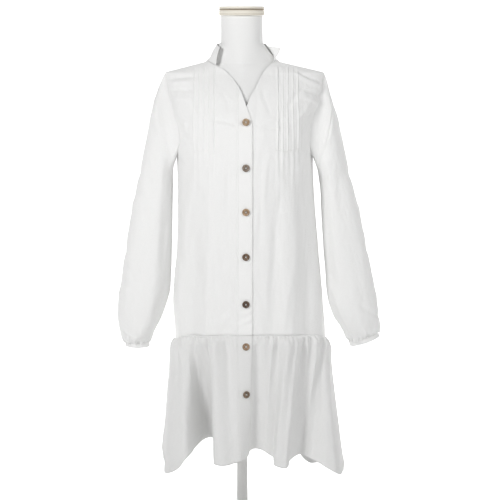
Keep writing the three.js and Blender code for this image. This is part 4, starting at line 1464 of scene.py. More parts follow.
@dataclass
class PinTucks:
    """The row of stitched tucks on each front."""

    from_buttons: tuple[float, ...] = (69, 80, 91, 103, 114)
    heights: tuple[float, ...] = (2.0, 0.9, 1.3, 1.1, 1.5)
    half: float = 2.4
    rise_share: float = 1.6  # of the half width, on the side next to the buttons
    fall_share: float = 0.4  # of the half width, at the folded edge
    top: float = 1112.0
    bottom: float = 936.0
    pleat_height: float = 1.8
    pleat_half: float = 3.6
    pleat_reach: float = 55.0
    pleat_reach_varies: float = 28.0

    def lift(self, x: Array, z: Array, side: int) -> Array:
        """Height of the tucks: a slow rise and a sharp edge away from the buttons.

        Args:
            x: places across.
            z: heights.
            side: -1 for the left front and 1 for the right.

        Returns:
            The lift at each place.
        """
        within = ease((z - self.bottom) / 6) * ease((self.top + 10 - z) / 10)
        across = side * (x - BUTTON_LINE)
        edge = (self.rise_share - 1) * self.half
        total = np.zeros(np.broadcast(x, z).shape)
        for at, height in zip(self.from_buttons, self.heights):
            off = across - at - 0.5 * np.sin(z / 31 + at)
            rise = ease((off + self.half) / (self.rise_share * self.half)) * (off < edge)
            fall = ease((self.half - off) / (self.fall_share * self.half)) * (off >= edge)
            total += height * (rise + fall) * (1 + 0.25 * np.sin(z / 19 + 2 * at))
        return total * within

    def released(self, x: Array, z: Array, side: int) -> Array:
        """Soft pleats where the tucks open below their ends.

        Args:
            x: places across.
            z: heights.
            side: -1 for the left front and 1 for the right.

        Returns:
            The lift at each place.
        """
        across = side * (x - BUTTON_LINE)
        below = self.bottom - z
        total = np.zeros(np.broadcast(x, z).shape)
        for k, at in enumerate(self.from_buttons):
            reach = self.pleat_reach + self.pleat_reach_varies * math.sin(2.3 * k + side)
            fade = ease((below + 4) / 10) * np.exp(-((np.maximum(below, 0) / reach) ** 1.4))
            total += self.pleat_height * fade * bump(across - at - 0.02 * below, self.pleat_half)
        return total


@dataclass
class Bodice:
    """Fronts, back and the band that carries the buttons."""

    finishes: Finishes
    stitches: StitchRun
    tucks: PinTucks = field(default_factory=PinTucks)
    rows: int = 170
    side_columns: int = 46
    plain_columns: int = 46
    tuck_columns: int = 66
    back_rows: int = 150
    back_columns: int = 44
    back_side_columns: int = 30
    back_inner: float = 1.45  # reach of the back's inner columns, as a share of the neck's half width
    band_columns: int = 24
    band_middle: float = 7.2
    band_seam: float = 3.0  # mm from the band's edge to its stitching
    band_off: float = 0.25  # mm that the band stands off the upper front
    shoulder_calm: Fade = Fade(1122, -20)  # wrinkles fade towards each seam
    waist_calm: Fade = Fade(0, 12)
    side_calm: Fade = Fade(70, 14)
    back_shoulder_calm: Fade = Fade(1128, -24)
    back_side_calm: Fade = Fade(92, 16)
    band_calm: Fade = Fade(24, -6)  # by the distance from the band's middle
    band_waves: Fade = Fade(20, -5)
    overlap_across: Fade = Fade(BAND_LEFT - 20, 14)  # where the upper front stands off the lower one
    overlap_up: Fade = Fade(1046, 40)
    pieces: dict[str, Cloth] = field(default_factory=dict)

    left_creases: Table = Table(
        CREASE_COLUMNS,
        (
            (-172, 1090, -96, 1098, -2.2, 3.2, 2),
            (-174, 1080, -104, 1088, 1.8, 4, 2),
            (-170, 1068, -100, 1072, -1.8, 4, -2),
            (-168, 1050, -108, 1046, 1.6, 5, 3),
            (-62, 1098, -20, 1020, -1.6, 5, 4),
            (-52, 1088, -14, 1040, 1.3, 4, -3),
            (-80, 1010, 4, 992, -2.0, 3.2, 3),
            (-70, 1000, 6, 985, 1.6, 3.4, 3),
            (-128, 1080, -98, 1010, -1.8, 5, 3),
            (-150, 1040, -112, 985, 1.8, 6, -4),
            (-148, 985, -96, 930, -2.2, 7, 5),
            (-146, 955, -118, 900, 2.0, 6, -4),
            (-50, 960, -38, 800, 1.8, 7, 6),
            (-28, 930, -22, 720, -1.8, 6, -5),
            (-100, 880, -78, 690, -2.2, 8, 7),
            (-118, 860, -126, 660, 2.0, 8, -6),
            (-60, 760, -44, 560, 2.0, 8, 5),
            (-20, 690, -16, 540, 1.4, 5, 3),
            (-92, 700, -100, 520, -2.0, 8, 4),
            (-16, 620, -60, 560, -1.3, 5, 5),
            (-12, 585, -46, 545, 1.2, 4, -4),
        ),
    )
    right_creases: Table = Table(
        CREASE_COLUMNS,
        (
            (100, 1124, 188, 1082, -3.0, 4, -3),
            (112, 1112, 190, 1070, 2.4, 4.5, -3),
            (128, 1072, 186, 1046, -2.6, 4.5, 4),
            (126, 1058, 182, 1030, 2.0, 5, 4),
            (44, 1080, 70, 1010, -1.6, 5, -4),
            (150, 1085, 96, 1018, -2.2, 6, -6),
            (160, 1062, 118, 1000, 2.0, 6, 5),
            (164, 1030, 132, 968, -2.0, 6, -4),
            (28, 992, 118, 1004, -2.0, 3.2, 3),
            (28, 984, 98, 994, 1.6, 3.2, -3),
            (152, 960, 120, 880, 2.0, 7, 5),
            (140, 930, 146, 800, -1.8, 7, -4),
            (62, 950, 48, 780, 2.0, 7, -6),
            (42, 900, 34, 700, -1.6, 6, 5),
            (92, 880, 76, 660, -2.4, 9, -7),
            (118, 850, 112, 610, 2.2, 8, 6),
            (64, 740, 58, 540, 2.0, 8, -5),
            (140, 730, 150, 540, -2.0, 8, 5),
            (28, 640, 52, 590, -1.2, 4, 3),
            (34, 600, 70, 556, 1.2, 5, -3),
            (98, 650, 92, 520, 1.8, 7, 4),
        ),
    )
    back_creases: Table = Table(
        CREASE_COLUMNS,
        (
            (-30, 1100, -22, 940, -1.8, 8, 5),
            (34, 1095, 28, 900, 2.0, 8, -6),
            (-90, 1085, -60, 960, 2.0, 8, 7),
            (92, 1082, 66, 950, -2.2, 8, -6),
            (-140, 1000, -96, 920, -2.2, 7, 5),
            (144, 1002, 100, 925, 2.2, 7, -5),
            (-60, 900, -66, 620, 2.4, 11, 8),
            (8, 900, 2, 600, -2.4, 11, -7),
            (74, 860, 84, 560, 2.2, 11, 8),
            (-112, 820, -104, 540, -2.2, 10, -6),
            (120, 800, 126, 560, -2.0, 9, 6),
            (-24, 700, -34, 520, 1.8, 9, 5),
            (40, 680, 46, 520, -1.8, 9, -5),
        ),
    )

    def front_columns(self, side: int) -> Array:
        """Places across a front, closer together at the tucks.

        Args:
            side: -1 for the left front and 1 for the right.

        Returns:
            Places from the inner edge outwards.
        """
        first = self.tucks.from_buttons[0] - 6
        last = self.tucks.from_buttons[-1] + 5
        inner = BUTTON_LINE - BAND_LEFT if side > 0 else BAND_RIGHT - BUTTON_LINE
        plain = np.linspace(-inner, first, self.plain_columns)[:-1]
        return BUTTON_LINE + side * np.concatenate([plain, np.linspace(first, last, self.tuck_columns)])

    def front(self, side: int) -> None:
        """One front panel with its tucks and creases.

        Args:
            side: -1 for the left front and 1 for the right.
        """
        name = "left" if side < 0 else "right"
        rows = np.linspace(0, 1, self.rows)
        angle, z = half_places(rows, self.front_columns(side), side, self.side_columns, False)
        plain = bodice_point(angle, z)
        x = plain[..., 0]
        if side < 0:
            layer = OVERLAP * self.overlap_across.at(x) * (1 - 0.6 * self.overlap_up.at(z))
            plain = bodice_point(angle, z, layer)
        creases = self.left_creases if side < 0 else self.right_creases
        calm = self.shoulder_calm.at(z) * self.waist_calm.at(z - WAIST.smooth("z", angle))
        calm = calm * (1 - 0.75 * self.side_calm.at(np.abs(angle)))
        in_band = self.band_calm.at(np.abs(x - self.band_middle))
        wrinkles = creases_lift(creases, x, z) + crumple(plain, seed=11 + side, size=34, height=0.55)
        wrinkles += crumple(plain, seed=31 + side, size=13, height=0.21)
        lift = calm * (1 - 0.7 * in_band) * wrinkles + self.tucks.released(x, z, side) * calm
        if side < 0:
            lift = lift + self.band_pucker(x, z)
        cloth = Cloth(f"front_{name}_cloth", f"bodice_front_{name}", Slot.COTTON, "hung", ("form_body",))
        crisp = self.tucks.lift(x, z, side) * (np.abs(angle) < 89)
        cloth.build(plain, lift, crisp, self.finishes.cotton)
        self.pieces[name] = cloth

    def band_pucker(self, x: Array, z: Array) -> Array:
        """Small waves of the button band between the buttons and over the waist seam.

        Args:
            x: places across.
            z: heights.

        Returns:
            The lift at each place.
        """
        pull = 0.5 * np.sin((z - 998) * 2 * math.pi / BUTTON_PITCH) * ease((1000 - z) / 40)
        pucker = 1.3 * bump(z - 566, 26) * np.sin((z - 0.5 * x) * 2 * math.pi / 19)
        return self.band_waves.at(np.abs(x - self.band_middle)) * (pull + pucker)

    def back(self) -> None:
        """Make the back panel."""
        rows = np.linspace(0, 1, self.back_rows)
        neck = BODICE.rows[-1]
        grids = []
        for side in (-1, 1):
            x = neck[1] + side * neck[2] * np.linspace(0, self.back_inner, self.back_columns)
            grids.append(half_places(rows, x, side, self.back_side_columns, True))
        angle = np.hstack([grids[0][0][:, ::-1], grids[1][0][:, 1:]])
        z = np.hstack([grids[0][1][:, ::-1], grids[1][1][:, 1:]])
        plain = bodice_point(angle, z)
        x = plain[..., 0]
        calm = self.back_shoulder_calm.at(z) * self.waist_calm.at(z - WAIST.smooth("z", angle))
        calm = calm * self.back_side_calm.at(np.abs(angle))
        wrinkles = creases_lift(self.back_creases, x, z) + crumple(plain, seed=5, size=36, height=0.6)
        wrinkles += crumple(plain, seed=7, size=13, height=0.25)
        cloth = Cloth("back_cloth", "bodice_back", Slot.COTTON, "hung", ("form_body",))
        cloth.build(plain, calm * wrinkles, 0.0, self.finishes.cotton)
        self.pieces["back"] = cloth

    def band(self) -> None:
        """Make the strip that carries the buttons, over the left front's edge."""
        rows = np.linspace(0, 1, self.rows)
        x = np.linspace(BAND_LEFT, BAND_RIGHT, self.band_columns)
        angle, z = half_places(rows, x[::-1], -1, 1, False)
        angle, z = angle[:, -2::-1], z[:, -2::-1]
        plain = bodice_point(angle, z, np.full_like(z, OVERLAP + self.band_off))
        where = plain[..., 0]
        lift = self.band_pucker(where, z) + 0.12 * np.sin(z / 7.0)
        edge = 0.35 * (ease((where - BAND_LEFT) / 1.2) * ease((BAND_RIGHT - where) / 1.2))
        left, right = where - BAND_LEFT - self.band_seam, BAND_RIGHT - where - self.band_seam
        seam = -0.22 * bump(left, 0.9) - 0.3 * bump(right, 0.9)
        cloth = Cloth("button_band_cloth", "button_band_bodice", Slot.BAND, "hung", ("front_left_cloth",))
        cloth.build(plain, lift + 0.3, edge + seam, self.finishes.band)
        self.pieces["band"] = cloth

    def line(self, key: str, column: int, out: float = 0.1) -> Array:
        """A line of points just outside a piece, along one of its columns.

        Args:
            key: the piece's short name.
            column: number of the column.
            out: how far outside it lies, in mm.

        Returns:
            The points.
        """
        grid = self.pieces[key].outer
        return grid[:, column] + normals_of(grid)[:, column] * out

    def build(self) -> None:
        """Make all pieces of the bodice with their stitching."""
        for side in (-1, 1):
            self.front(side)
        self.back()
        self.band()
        thread = self.finishes.thread
        rows = [self.line("band", column) for column in (2, self.band_columns - 3)]
        stitched = self.stitches.lay("button_band_stitches", rows, thread)
        finish_piece(stitched, thread)
        for key, side in (("left", -1), ("right", 1)):
            rows = self.tuck_bars(key, side)
            bars = self.stitches.lay(f"tuck_bars_{key}", rows, thread, pitch=1.6, radius=0.3)
            finish_piece(bars, thread)
        for key, cloth in self.pieces.items():
            cloth.declare(width=(BAND_RIGHT - BAND_LEFT) * MM if key == "band" else None)

    def tuck_bars(self, key: str, side: int) -> list[Array]:
        """Short rows of stitches that hold each tuck's lower end.

        Args:
            key: the front's short name.
            side: -1 for the left front and 1 for the right.

        Returns:
            The points of each row.
        """
        grid = self.pieces[key].outer
        normal = normals_of(grid)
        lines = []
        for k, at in enumerate(self.tucks.from_buttons):
            x = BUTTON_LINE + side * at
            z = self.tucks.bottom + 2 + 2.2 * math.sin(1.7 * k + side)
            for dz in (0.0, 3.0):
                ends = []
                for dx in (-4.5, -1.5, 1.5, 4.5):
                    off = np.abs(grid[..., 0] - x - dx) + np.abs(grid[..., 2] - z - dz)
                    j, i = np.unravel_index(np.argmin(off), off.shape)
                    ends.append(grid[j, i] + normal[j, i] * 0.25)
                lines.append(np.array(ends))
        return lines


@dataclass
class Collar:
    """Stand collar whose right front end is folded out to a point."""

    finishes: Finishes
    stitches: StitchRun
    columns: int = 150
    rows: int = 22
    belly: float = 2.5  # how far the collar bows out half way up
    off_neckline: float = 0.4
    stations: Table = Table(
        ("x", "z", "angle", "topX", "topY", "topZ"),
        (
            (-57, 1121.6, 0, -50, -40, 1162),
            (-70, 1128.5, 0, -54, -20, 1166),
            (0, 0, -91, -56, 0, 1168),
            (0, 0, -112, -55, 22, 1169),
            (0, 0, -140, -37, 43, 1172),
            (0, 0, -180, 1, 53, 1175),
            (0, 0, 140, 38, 43, 1172),
            (0, 0, 112, 55, 22, 1168),
            (0, 0, 91, 57, 4, 1165),
            (73, 1129.6, 0, 67, -12, 1163),
            (68, 1127, 0, 88, -22, 1159.5),
        ),
    )

    def foot(self) -> Table:
        """The collar's lower edge on the neckline.

        Returns:
            A table of places, one for each station.
        """
        rows = []
        for x, z, angle, *_ in self.stations.rows:
            if angle == 0:
                at = angle_of_x(np.array(x), np.array(z))
                point = bodice_point(at, np.array(z))
            else:
                rise = BACK_NECK_RISE * max(0.0, -math.cos(math.radians(angle))) ** 2
                point = smooth_bodice(np.array(float(angle)), np.array(NECK_Z))
                point[2] += rise
            rows.append(tuple(point + np.array([0, 0, self.off_neckline])))
        return Table(("footX", "footY", "footZ"), tuple(rows))

    def build(self) -> None:
        """Make the collar with its edge stitching."""
        foot = self.foot()
        position = np.linspace(0, len(self.stations.rows) - 1, self.columns)[None, :]
        share = np.linspace(0, 1, self.rows)[:, None]
        low = np.stack([foot.rounded(n, position) for n in ("footX", "footY", "footZ")], -1)
        high = np.stack([self.stations.rounded(n, position) for n in ("topX", "topY", "topZ")], -1)
        point = mix(low, high, share[..., None])
        out = low * np.array([1, 1, 0])
        out /= np.linalg.norm(out, axis=-1, keepdims=True)
        point = point + out * (self.belly * np.sin(np.pi * share))[..., None]
        ripple = crumple(point, seed=21, size=26, height=0.5) + crumple(point, seed=22, size=9, height=0.15)
        lift = ripple * ease(share / 0.3)
        crisp = -0.3 * bump(share - 0.9, 0.03) + 0 * lift
        cloth = Cloth("collar_cloth", "collar_stand", Slot.BAND, "hung", ("front_left_cloth", "back_cloth"))
        cloth.build(point, lift, crisp, self.finishes.band)
        grid = cloth.outer
        normal = normals_of(grid)
        lines = [grid[row] + normal[row] * 0.15 for row in (2, self.rows - 3)]
        stitched = self.stitches.lay("collar_stitches", lines, self.finishes.thread)
        finish_piece(stitched, self.finishes.thread)
        cloth.declare()


@dataclass
class Sleeve:
    """A long sleeve gathered into a narrow cuff."""

    side: int
    finishes: Finishes
    stitches: StitchRun
    rows: int = 190
    columns: int = 150
    girth: float = 340.0  # mm round, for the wrinkles
    length: float = 640.0
    cuff_rows: int = 12
    cuff_columns: int = 120
    head_calm: Fade = Fade(0.03, 0.1)  # by the share of its length
    cuff_calm: Fade = Fade(0.985, 0.015)
    join_calm: Fade = Fade(0.46, 0.04)  # by the turn from its outer line
    head_gathers: Fade = Fade(0.22, -0.1)
    creases: Table = Table(
        CREASE_COLUMNS,
        (
            (-150, 70, -20, 120, -2.6, 9, 10),
            (60, 90, -60, 190, 1.2, 10, -8),
            (-90, 200, 60, 270, -2.6, 9, 8),
            (100, 230, -40, 330, 2.4, 9, -8),
            (-60, 330, 80, 420, -2.4, 9, 8),
            (90, 400, -30, 470, 2.0, 8, -6),
            (-90, 440, 20, 540, -2.6, 9, 7),
            (20, 520, 110, 600, 2.2, 8, 5),
            (160, 300, 120, 500, -2.4, 9, 6),
            (-150, 330, -120, 520, 2.4, 9, -6),
        ),
    )

    def build(self) -> None:
        """Make the sleeve and its cuff."""
        side = self.side
        name = "left" if side < 0 else "right"
        step = np.linspace(0, 1, self.rows)[:, None]
        share = mix(step, ease(step), 0.35) + np.zeros((1, self.columns))
        turn = np.arange(self.columns)[None, :] / self.columns + np.zeros_like(share)
        base = sleeve_surface(side, turn, share)
        around = (turn - 0.5) * self.girth
        down = share * self.length
        calm = self.head_calm.at(share) * (1 - self.cuff_calm.at(share))
        from_outer = np.abs(turn - 0.5)
        lift = creases_lift(self.creases, around * side, down)
        lift += crumple(base, seed=41 + side, size=36, height=0.8)
        lift += crumple(base, seed=45 + side, size=12, height=0.3)
        lift *= calm
        wrap = np.concatenate([around, around + self.girth], axis=1)
        up = np.concatenate([self.length - down] * 2, axis=1)
        twice = gathers(wrap, up, seed=51 + side, pitch=13.0, height=9.0, reach=45)
        lift += twice[:, : self.columns] * (1 - self.join_calm.at(from_outer))
        head = gathers(around, np.maximum(down - 2, 0), seed=61 + side, pitch=9.0, height=1.1, reach=22)
        lift += head * self.head_gathers.at(from_outer)
        cloth = Cloth(f"sleeve_{name}_cloth", f"sleeve_{name}", Slot.COTTON, "hung", (f"front_{name}_cloth",))
        under = armhole_point(turn[:1], side, HEAD_TUCK)
        base, lift = np.concatenate([under, base]), np.concatenate([0 * lift[:1], lift])
        cloth.build(base, lift, 0.0, self.finishes.cotton, closed=True)
        cloth.declare(closed=True)
        self.cuff(name)

    def cuff(self, name: str) -> None:
        """Make the narrow band at the sleeve's end.

        Args:
            name: left or right.
        """
        table = SLEEVE_LEFT if self.side < 0 else SLEEVE_RIGHT
        end = table.rows[-1]
        run = np.array([end[0] - end[2], end[1] - end[3]])
        run /= np.linalg.norm(run)
        down = np.array([self.side * abs(run[1]), 0.0, -abs(run[0])])
        turn = np.arange(self.cuff_columns)[None, :] / self.cuff_columns + np.zeros((self.cuff_rows, 1))
        ring = sleeve_oval(table, turn, np.ones_like(turn))
        drop = np.linspace(0.3, CUFF_HEIGHT, self.cuff_rows)[:, None]
        point = ring + down * (drop + 0 * turn)[..., None]
        around = 2 * np.pi * turn
        lift = 0.5 * np.sin(9 * around + 1) * (drop / CUFF_HEIGHT) + 0.4 * np.sin(5 * around)
        cloth = Cloth(f"cuff_{name}_cloth", f"cuff_{name}", Slot.BAND, "gathered", (f"sleeve_{name}_cloth",))
        cloth.build(point, lift + 0.3, 0.0, self.finishes.band, closed=True)
        grid = cloth.outer
        normal = normals_of(grid, closed=True) * (-1 if self.side > 0 else 1)
        line = np.concatenate([grid, grid[:, :1]], axis=1)
        out = np.concatenate([normal, normal[:, :1]], axis=1)
        loops = [line[row] + out[row] * 0.15 for row in (2, self.cuff_rows - 3)]
        stitched = self.stitches.lay(f"cuff_{name}_stitches", loops, self.finishes.thread, 2.2)
        finish_piece(stitched, self.finishes.thread)
        cloth.declare(closed=True)


@dataclass
class Skirt:
    """The gathered lower tier: two fronts, a back and the lower band."""

    finishes: Finishes
    stitches: StitchRun
    rows: int = 96
    per_row: int = 13  # columns from one row of the skirt's table to the next
    row_packing: float = 1.35  # above 1, rows lie closer together at the waist
    tuck_in: float = 0.992  # how far the first row lies in under the bodice's edge
    tuck_up: float = 4.0
    band_columns: int = 24
    waist_gathers: Fade = Fade(0, 0.02)  # by the share of its length
    waist_folds: Fade = Fade(0, 0.07)
    waist_creases: Fade = Fade(0, 0.2)
    under_band: Fade = Fade(0.9, -0.4)  # by the rows of the table from the band's middle
    band_middle: float = 11.5
    hem_turned: Fade = Fade(0.955, 0.01)
    hem_step: float = 0.5
    band_off: float = 0.8  # mm that the band stands off the overlap
    band_edge: float = 0.35  # height of its edges, and depth of its seams
    band_round: float = 0.04  # the rest by the share of its width
    band_seams: tuple[float, float] = (0.09, 0.91)
    right_creases: Table = Table(CREASE_COLUMNS, ((14, 130, 60, 215, -1.6, 6, 5),))
    folds: Table = Table(
        ("row", "swell", "spread"),
        (
            (2.0, 4, 0.5),
            (3.3, -5, 0.5),
            (4.6, 4, 0.5),
            (6.6, -4, 0.9),
            (8.1, -9, 0.45),
            (9.4, 14, 0.45),
            (10.45, -9, 0.4),
            (12.8, -8, 0.7),
            (14.2, 4, 0.3),
            (15.0, -4, 0.3),
            (16.2, 10, 0.42),
            (17.3, 3, 0.25),
            (18.6, -10, 0.6),
            (20.4, 8, 0.45),
            (21.6, -4, 0.3),
            (22.5, 4, 0.3),
            (27.0, 5, 0.6),
            (29.5, -5, 0.6),
            (33.0, 5, 0.7),
            (36.5, -5, 0.7),
        ),
    )
    pieces: dict[str, Cloth] = field(default_factory=dict)

    def places(self, first: float, last: float, columns: int) -> tuple[Array, Array, Array]:
        """Grid between two rows of the skirt's table, closer together at the waist.

        Args:
            first: the row where it starts.
            last: the row where it ends.
            columns: number of columns.

        Returns:
            Positions along the table, shares of the length and points.
        """
        position = np.linspace(first, last, columns)[None, :]
        share = (np.linspace(0, 1, self.rows) ** self.row_packing)[:, None] + 0 * position
        position = position + 0 * share
        return position, share, skirt_surface(position, share)

    def panel(self, key: str, node: str, first: int, last: int, seed: int) -> None:
        """Make one panel between two rows of the skirt's table.

        Args:
            key: its short name.
            node: the solid that it replaces.
            first: the row where it starts.
            last: the row where it ends.
            seed: fixes its gathers.
        """
        position, share, base = self.places(first, last, (last - first) * self.per_row + 1)
        seam = np.cumsum(np.hstack([[0], np.linalg.norm(np.diff(base[0], axis=0), axis=-1)]))
        down = share * SKIRT_LENGTH
        across = np.broadcast_to(seam[None, :], share.shape)
        lift = gathers(across, down, seed, pitch=8.5, height=7.0, reach=26)
        lift += gathers(across, down, seed + 1, pitch=20, height=6.0, reach=95)
        lift += crumple(base, seed, size=30, height=0.7) * self.waist_creases.at(share)
        lift += crumple(base, seed + 2, size=11, height=0.25)
        for row, swell, spread in self.folds.rows:
            lift += swell * bump(position - row, spread) * self.waist_folds.at(share) * (1 - 0.4 * share)
        if key == "right":
            lift += creases_lift(self.right_creases, across, down)
        edge = ease((position - first) / 0.5) * ease((last - position) / 0.5)
        band = self.under_band.at(np.abs(position - self.band_middle)) if key != "back" else 0.0
        lift = lift * edge * (1 - band) * self.waist_gathers.at(share)
        if key == "left":
            lift = lift + OVERLAP * ease(position - (SKIRT_BAND_LEFT - 1))
        hem = self.hem_step * self.hem_turned.at(share)
        cloth = Cloth(f"skirt_{key}_cloth", node, Slot.COTTON, "gathered", ("front_left_cloth", "back_cloth"))
        under = base[:1] * np.array([self.tuck_in, self.tuck_in, 1.0]) + np.array([0, 0, self.tuck_up])
        base = np.concatenate([under, base])
        lift = np.concatenate([0 * lift[:1], lift])
        hem = np.concatenate([0 * hem[:1], hem])
        # The skirt's cloth is the darker copy, with painted shade where nothing lies behind it.
        cloth.build(base, lift, hem, self.finishes.single)
        self.pieces[key] = cloth

    def band(self) -> None:
        """Make the lower end of the strip that carries the buttons."""
        position, share, base = self.places(SKIRT_BAND_LEFT, SKIRT_BAND_RIGHT, self.band_columns)
        where = position - SKIRT_BAND_LEFT
        seam = -self.band_edge * sum(bump(where - at, 0.03) for at in self.band_seams)
        edge = self.band_edge * ease(where / self.band_round) * ease((1 - where) / self.band_round)
        waves = 0.5 * np.sin(share * SKIRT_LENGTH / 11.0) * bump(share - 0.1, 0.14)
        lift = OVERLAP + self.band_off + waves
        cloth = Cloth(
            "button_band_skirt_cloth", "button_band_skirt", Slot.BAND, "hung", ("skirt_left_cloth",)
        )
        # The skirt's band takes the same darker cloth with painted shade.
        cloth.build(base, lift + 0 * share, edge + seam, self.finishes.single)
        self.pieces["band"] = cloth

    def build(self) -> None:
        """Make all pieces of the skirt with their stitching."""
        self.panel("left", "skirt_front_left", 0, SKIRT_BAND_RIGHT, 71)
        self.panel("right", "skirt_front_right", SKIRT_BAND_LEFT, SKIRT_SIDE, 81)
        self.panel("back", "skirt_back", SKIRT_SIDE, len(SKIRT.rows), 91)
        self.band()
        thread = self.finishes.thread
        grid = self.pieces["band"].outer
        normal = -normals_of(grid)
        lines = [grid[:, column] + normal[:, column] * 0.12 for column in (2, self.band_columns - 3)]
        finish_piece(self.stitches.lay("skirt_band_stitches", lines, thread), thread)
        hems = []
        for key in ("left", "right", "back"):
            grid = self.pieces[key].outer
            hems.append(grid[-4] - normals_of(grid)[-4] * 0.12)
        finish_piece(self.stitches.lay("hem_stitches", hems, thread, 3.0), thread)
        for cloth in self.pieces.values():
            cloth.declare()


@dataclass
class Buttons:
    """Seven dished buttons with four holes, sewn on with crossed thread."""

    finishes: Finishes
    radius: float = 8.2
    thick: float = 3.0
    hole: float = 0.95
    hole_from_middle: float = 2.1
    sunk: float = 1.3  # the buttons lie closer to the cloth than their solids do
    sides: int = 48
    pin_sides: int = 12
    strand_rings: int = 7
    strand_sides: int = 8
    strand_arch: float = 0.95
    tones: tuple[tuple[str, str], ...] = (
        ("c2a98c", "8c7358"),
        ("9a8b7d", "6b5d50"),
        ("b99c7c", "8d7358"),
        ("806650", "54402f"),
        ("6c5442", "443225"),
        ("a3866a", "6f5843"),
        ("94806c", "4f3f31"),
    )

    def place(self, number: int) -> Matrix:
        """Where the solid button lies.

        Args:
            number: the button's number from the top.

        Returns:
            Its middle, with Z along its own axis.
        """
        node = solid_object(f"button_{number}")
        points = np.array([node.matrix_world @ v.co for v in node.data.vertices])
        middle = points.mean(axis=0)
        axis = np.linalg.svd(points - middle)[2][2]
        if axis[1] > 0:
            axis = -axis
        low = ((points - middle) @ axis).min()
        turn = Vector(axis).to_track_quat("Z", "Y").to_matrix().to_4x4()
        return Matrix.Translation(Vector(middle + axis * (low - self.sunk * MM))) @ turn

    def profile(self) -> Outline:
        """Outline of the button: rounded rim, raised lip and dished face.

        Returns:
            Points as radius and height, from the back's middle to the front's middle.
        """
        r, t = self.radius, self.thick
        rim = ((r - 1.6, 0), (r - 0.6, 0.35), (r - 0.1, 1.0), (r, 1.5), (r - 0.15, 2.3), (r - 0.6, t - 0.15))
        face = ((r - 1.2, t), (r - 1.8, t - 0.15), (r - 2.5, t - 0.75), (r - 3.2, t - 1.0))
        return ((0, 0), *rim, *face, (0, t - 1.0))

    def build(self) -> None:
        """Make the buttons and their thread."""
        for number, (light, dark) in enumerate(self.tones, start=1):
            place = self.place(number)
            button = turned_object(f"button_{number}_shell", self.profile(), self.sides)
            cutter = self.cutter(number)
            modifier = button.modifiers.new("holes", "BOOLEAN")
            modifier.object = cutter
            modifier.operation = "DIFFERENCE"
            modifier.solver = "EXACT"
            made = evaluated_mesh(button)
            button.modifiers.remove(modifier)
            button.data = made
            bpy.data.objects.remove(cutter)
            made.transform(place)
            # Brown shell: clouded, satin, each button a little different from the next.
            shell = ShellFinish(f"button_shell_{number}", light, dark, number * 0.37).make()
            finish_piece(button, shell, (f"button_{number}",))
            thread = self.thread(number)
            thread.data.transform(place)
            finish_piece(thread, self.finishes.thread)

    def holes(self) -> list[tuple[float, float]]:
        """Middles of the four holes."""
        d = self.hole_from_middle * math.sqrt(0.5)
        return [(d, d), (-d, d), (-d, -d), (d, -d)]

    def cutter(self, number: int) -> bpy.types.Object:
        """Four pins that cut the holes.

        Args:
            number: the button's number from the top.

        Returns:
            One object that holds the pins.
        """
        angle = 2 * math.pi * np.arange(self.pin_sides) / self.pin_sides
        pins, faces = [], []
        for k, (x, y) in enumerate(self.holes()):
            across, up = x + self.hole * np.cos(angle), y + self.hole * np.sin(angle)
            pins += [np.stack([across, up, np.full_like(angle, z)], 1) for z in (-1.0, self.thick + 1.0)]
            faces += tube_faces(2, self.pin_sides, 2 * self.pin_sides * k)
        return mesh_object(f"holes_{number}", np.vstack(pins), faces, smooth=False)

    def thread(self, number: int) -> bpy.types.Object:
        """Two strands crossed over the middle.

        Args:
            number: the button's number from the top.

        Returns:
            One object that holds the strands.
        """
        spots = self.holes()
        rings, faces = [], []
        size = self.strand_rings * self.strand_sides
        for a, b in ((0, 2), (1, 3)):
            start, end = np.array(spots[a] + (0.0,)), np.array(spots[b] + (0.0,))
            along = (end - start) / np.linalg.norm(end - start)
            wide = np.array([-along[1], along[0], 0.0])
            for t in np.linspace(0, 1, self.strand_rings):
                middle = start + (end - start) * t
                arch = self.strand_arch * math.sin(math.pi * t) ** 0.5
                middle[2] = self.thick - 1.5 + arch + 0.12 * a
                for q in np.arange(self.strand_sides) * 2 * math.pi / self.strand_sides:
                    rings.append(middle + 0.5 * wide * math.cos(q) + np.array([0, 0, 0.4]) * math.sin(q))
            faces += tube_faces(self.strand_rings, self.strand_sides, a * size)
        return mesh_object(f"button_{number}_thread", np.array(rings), faces)


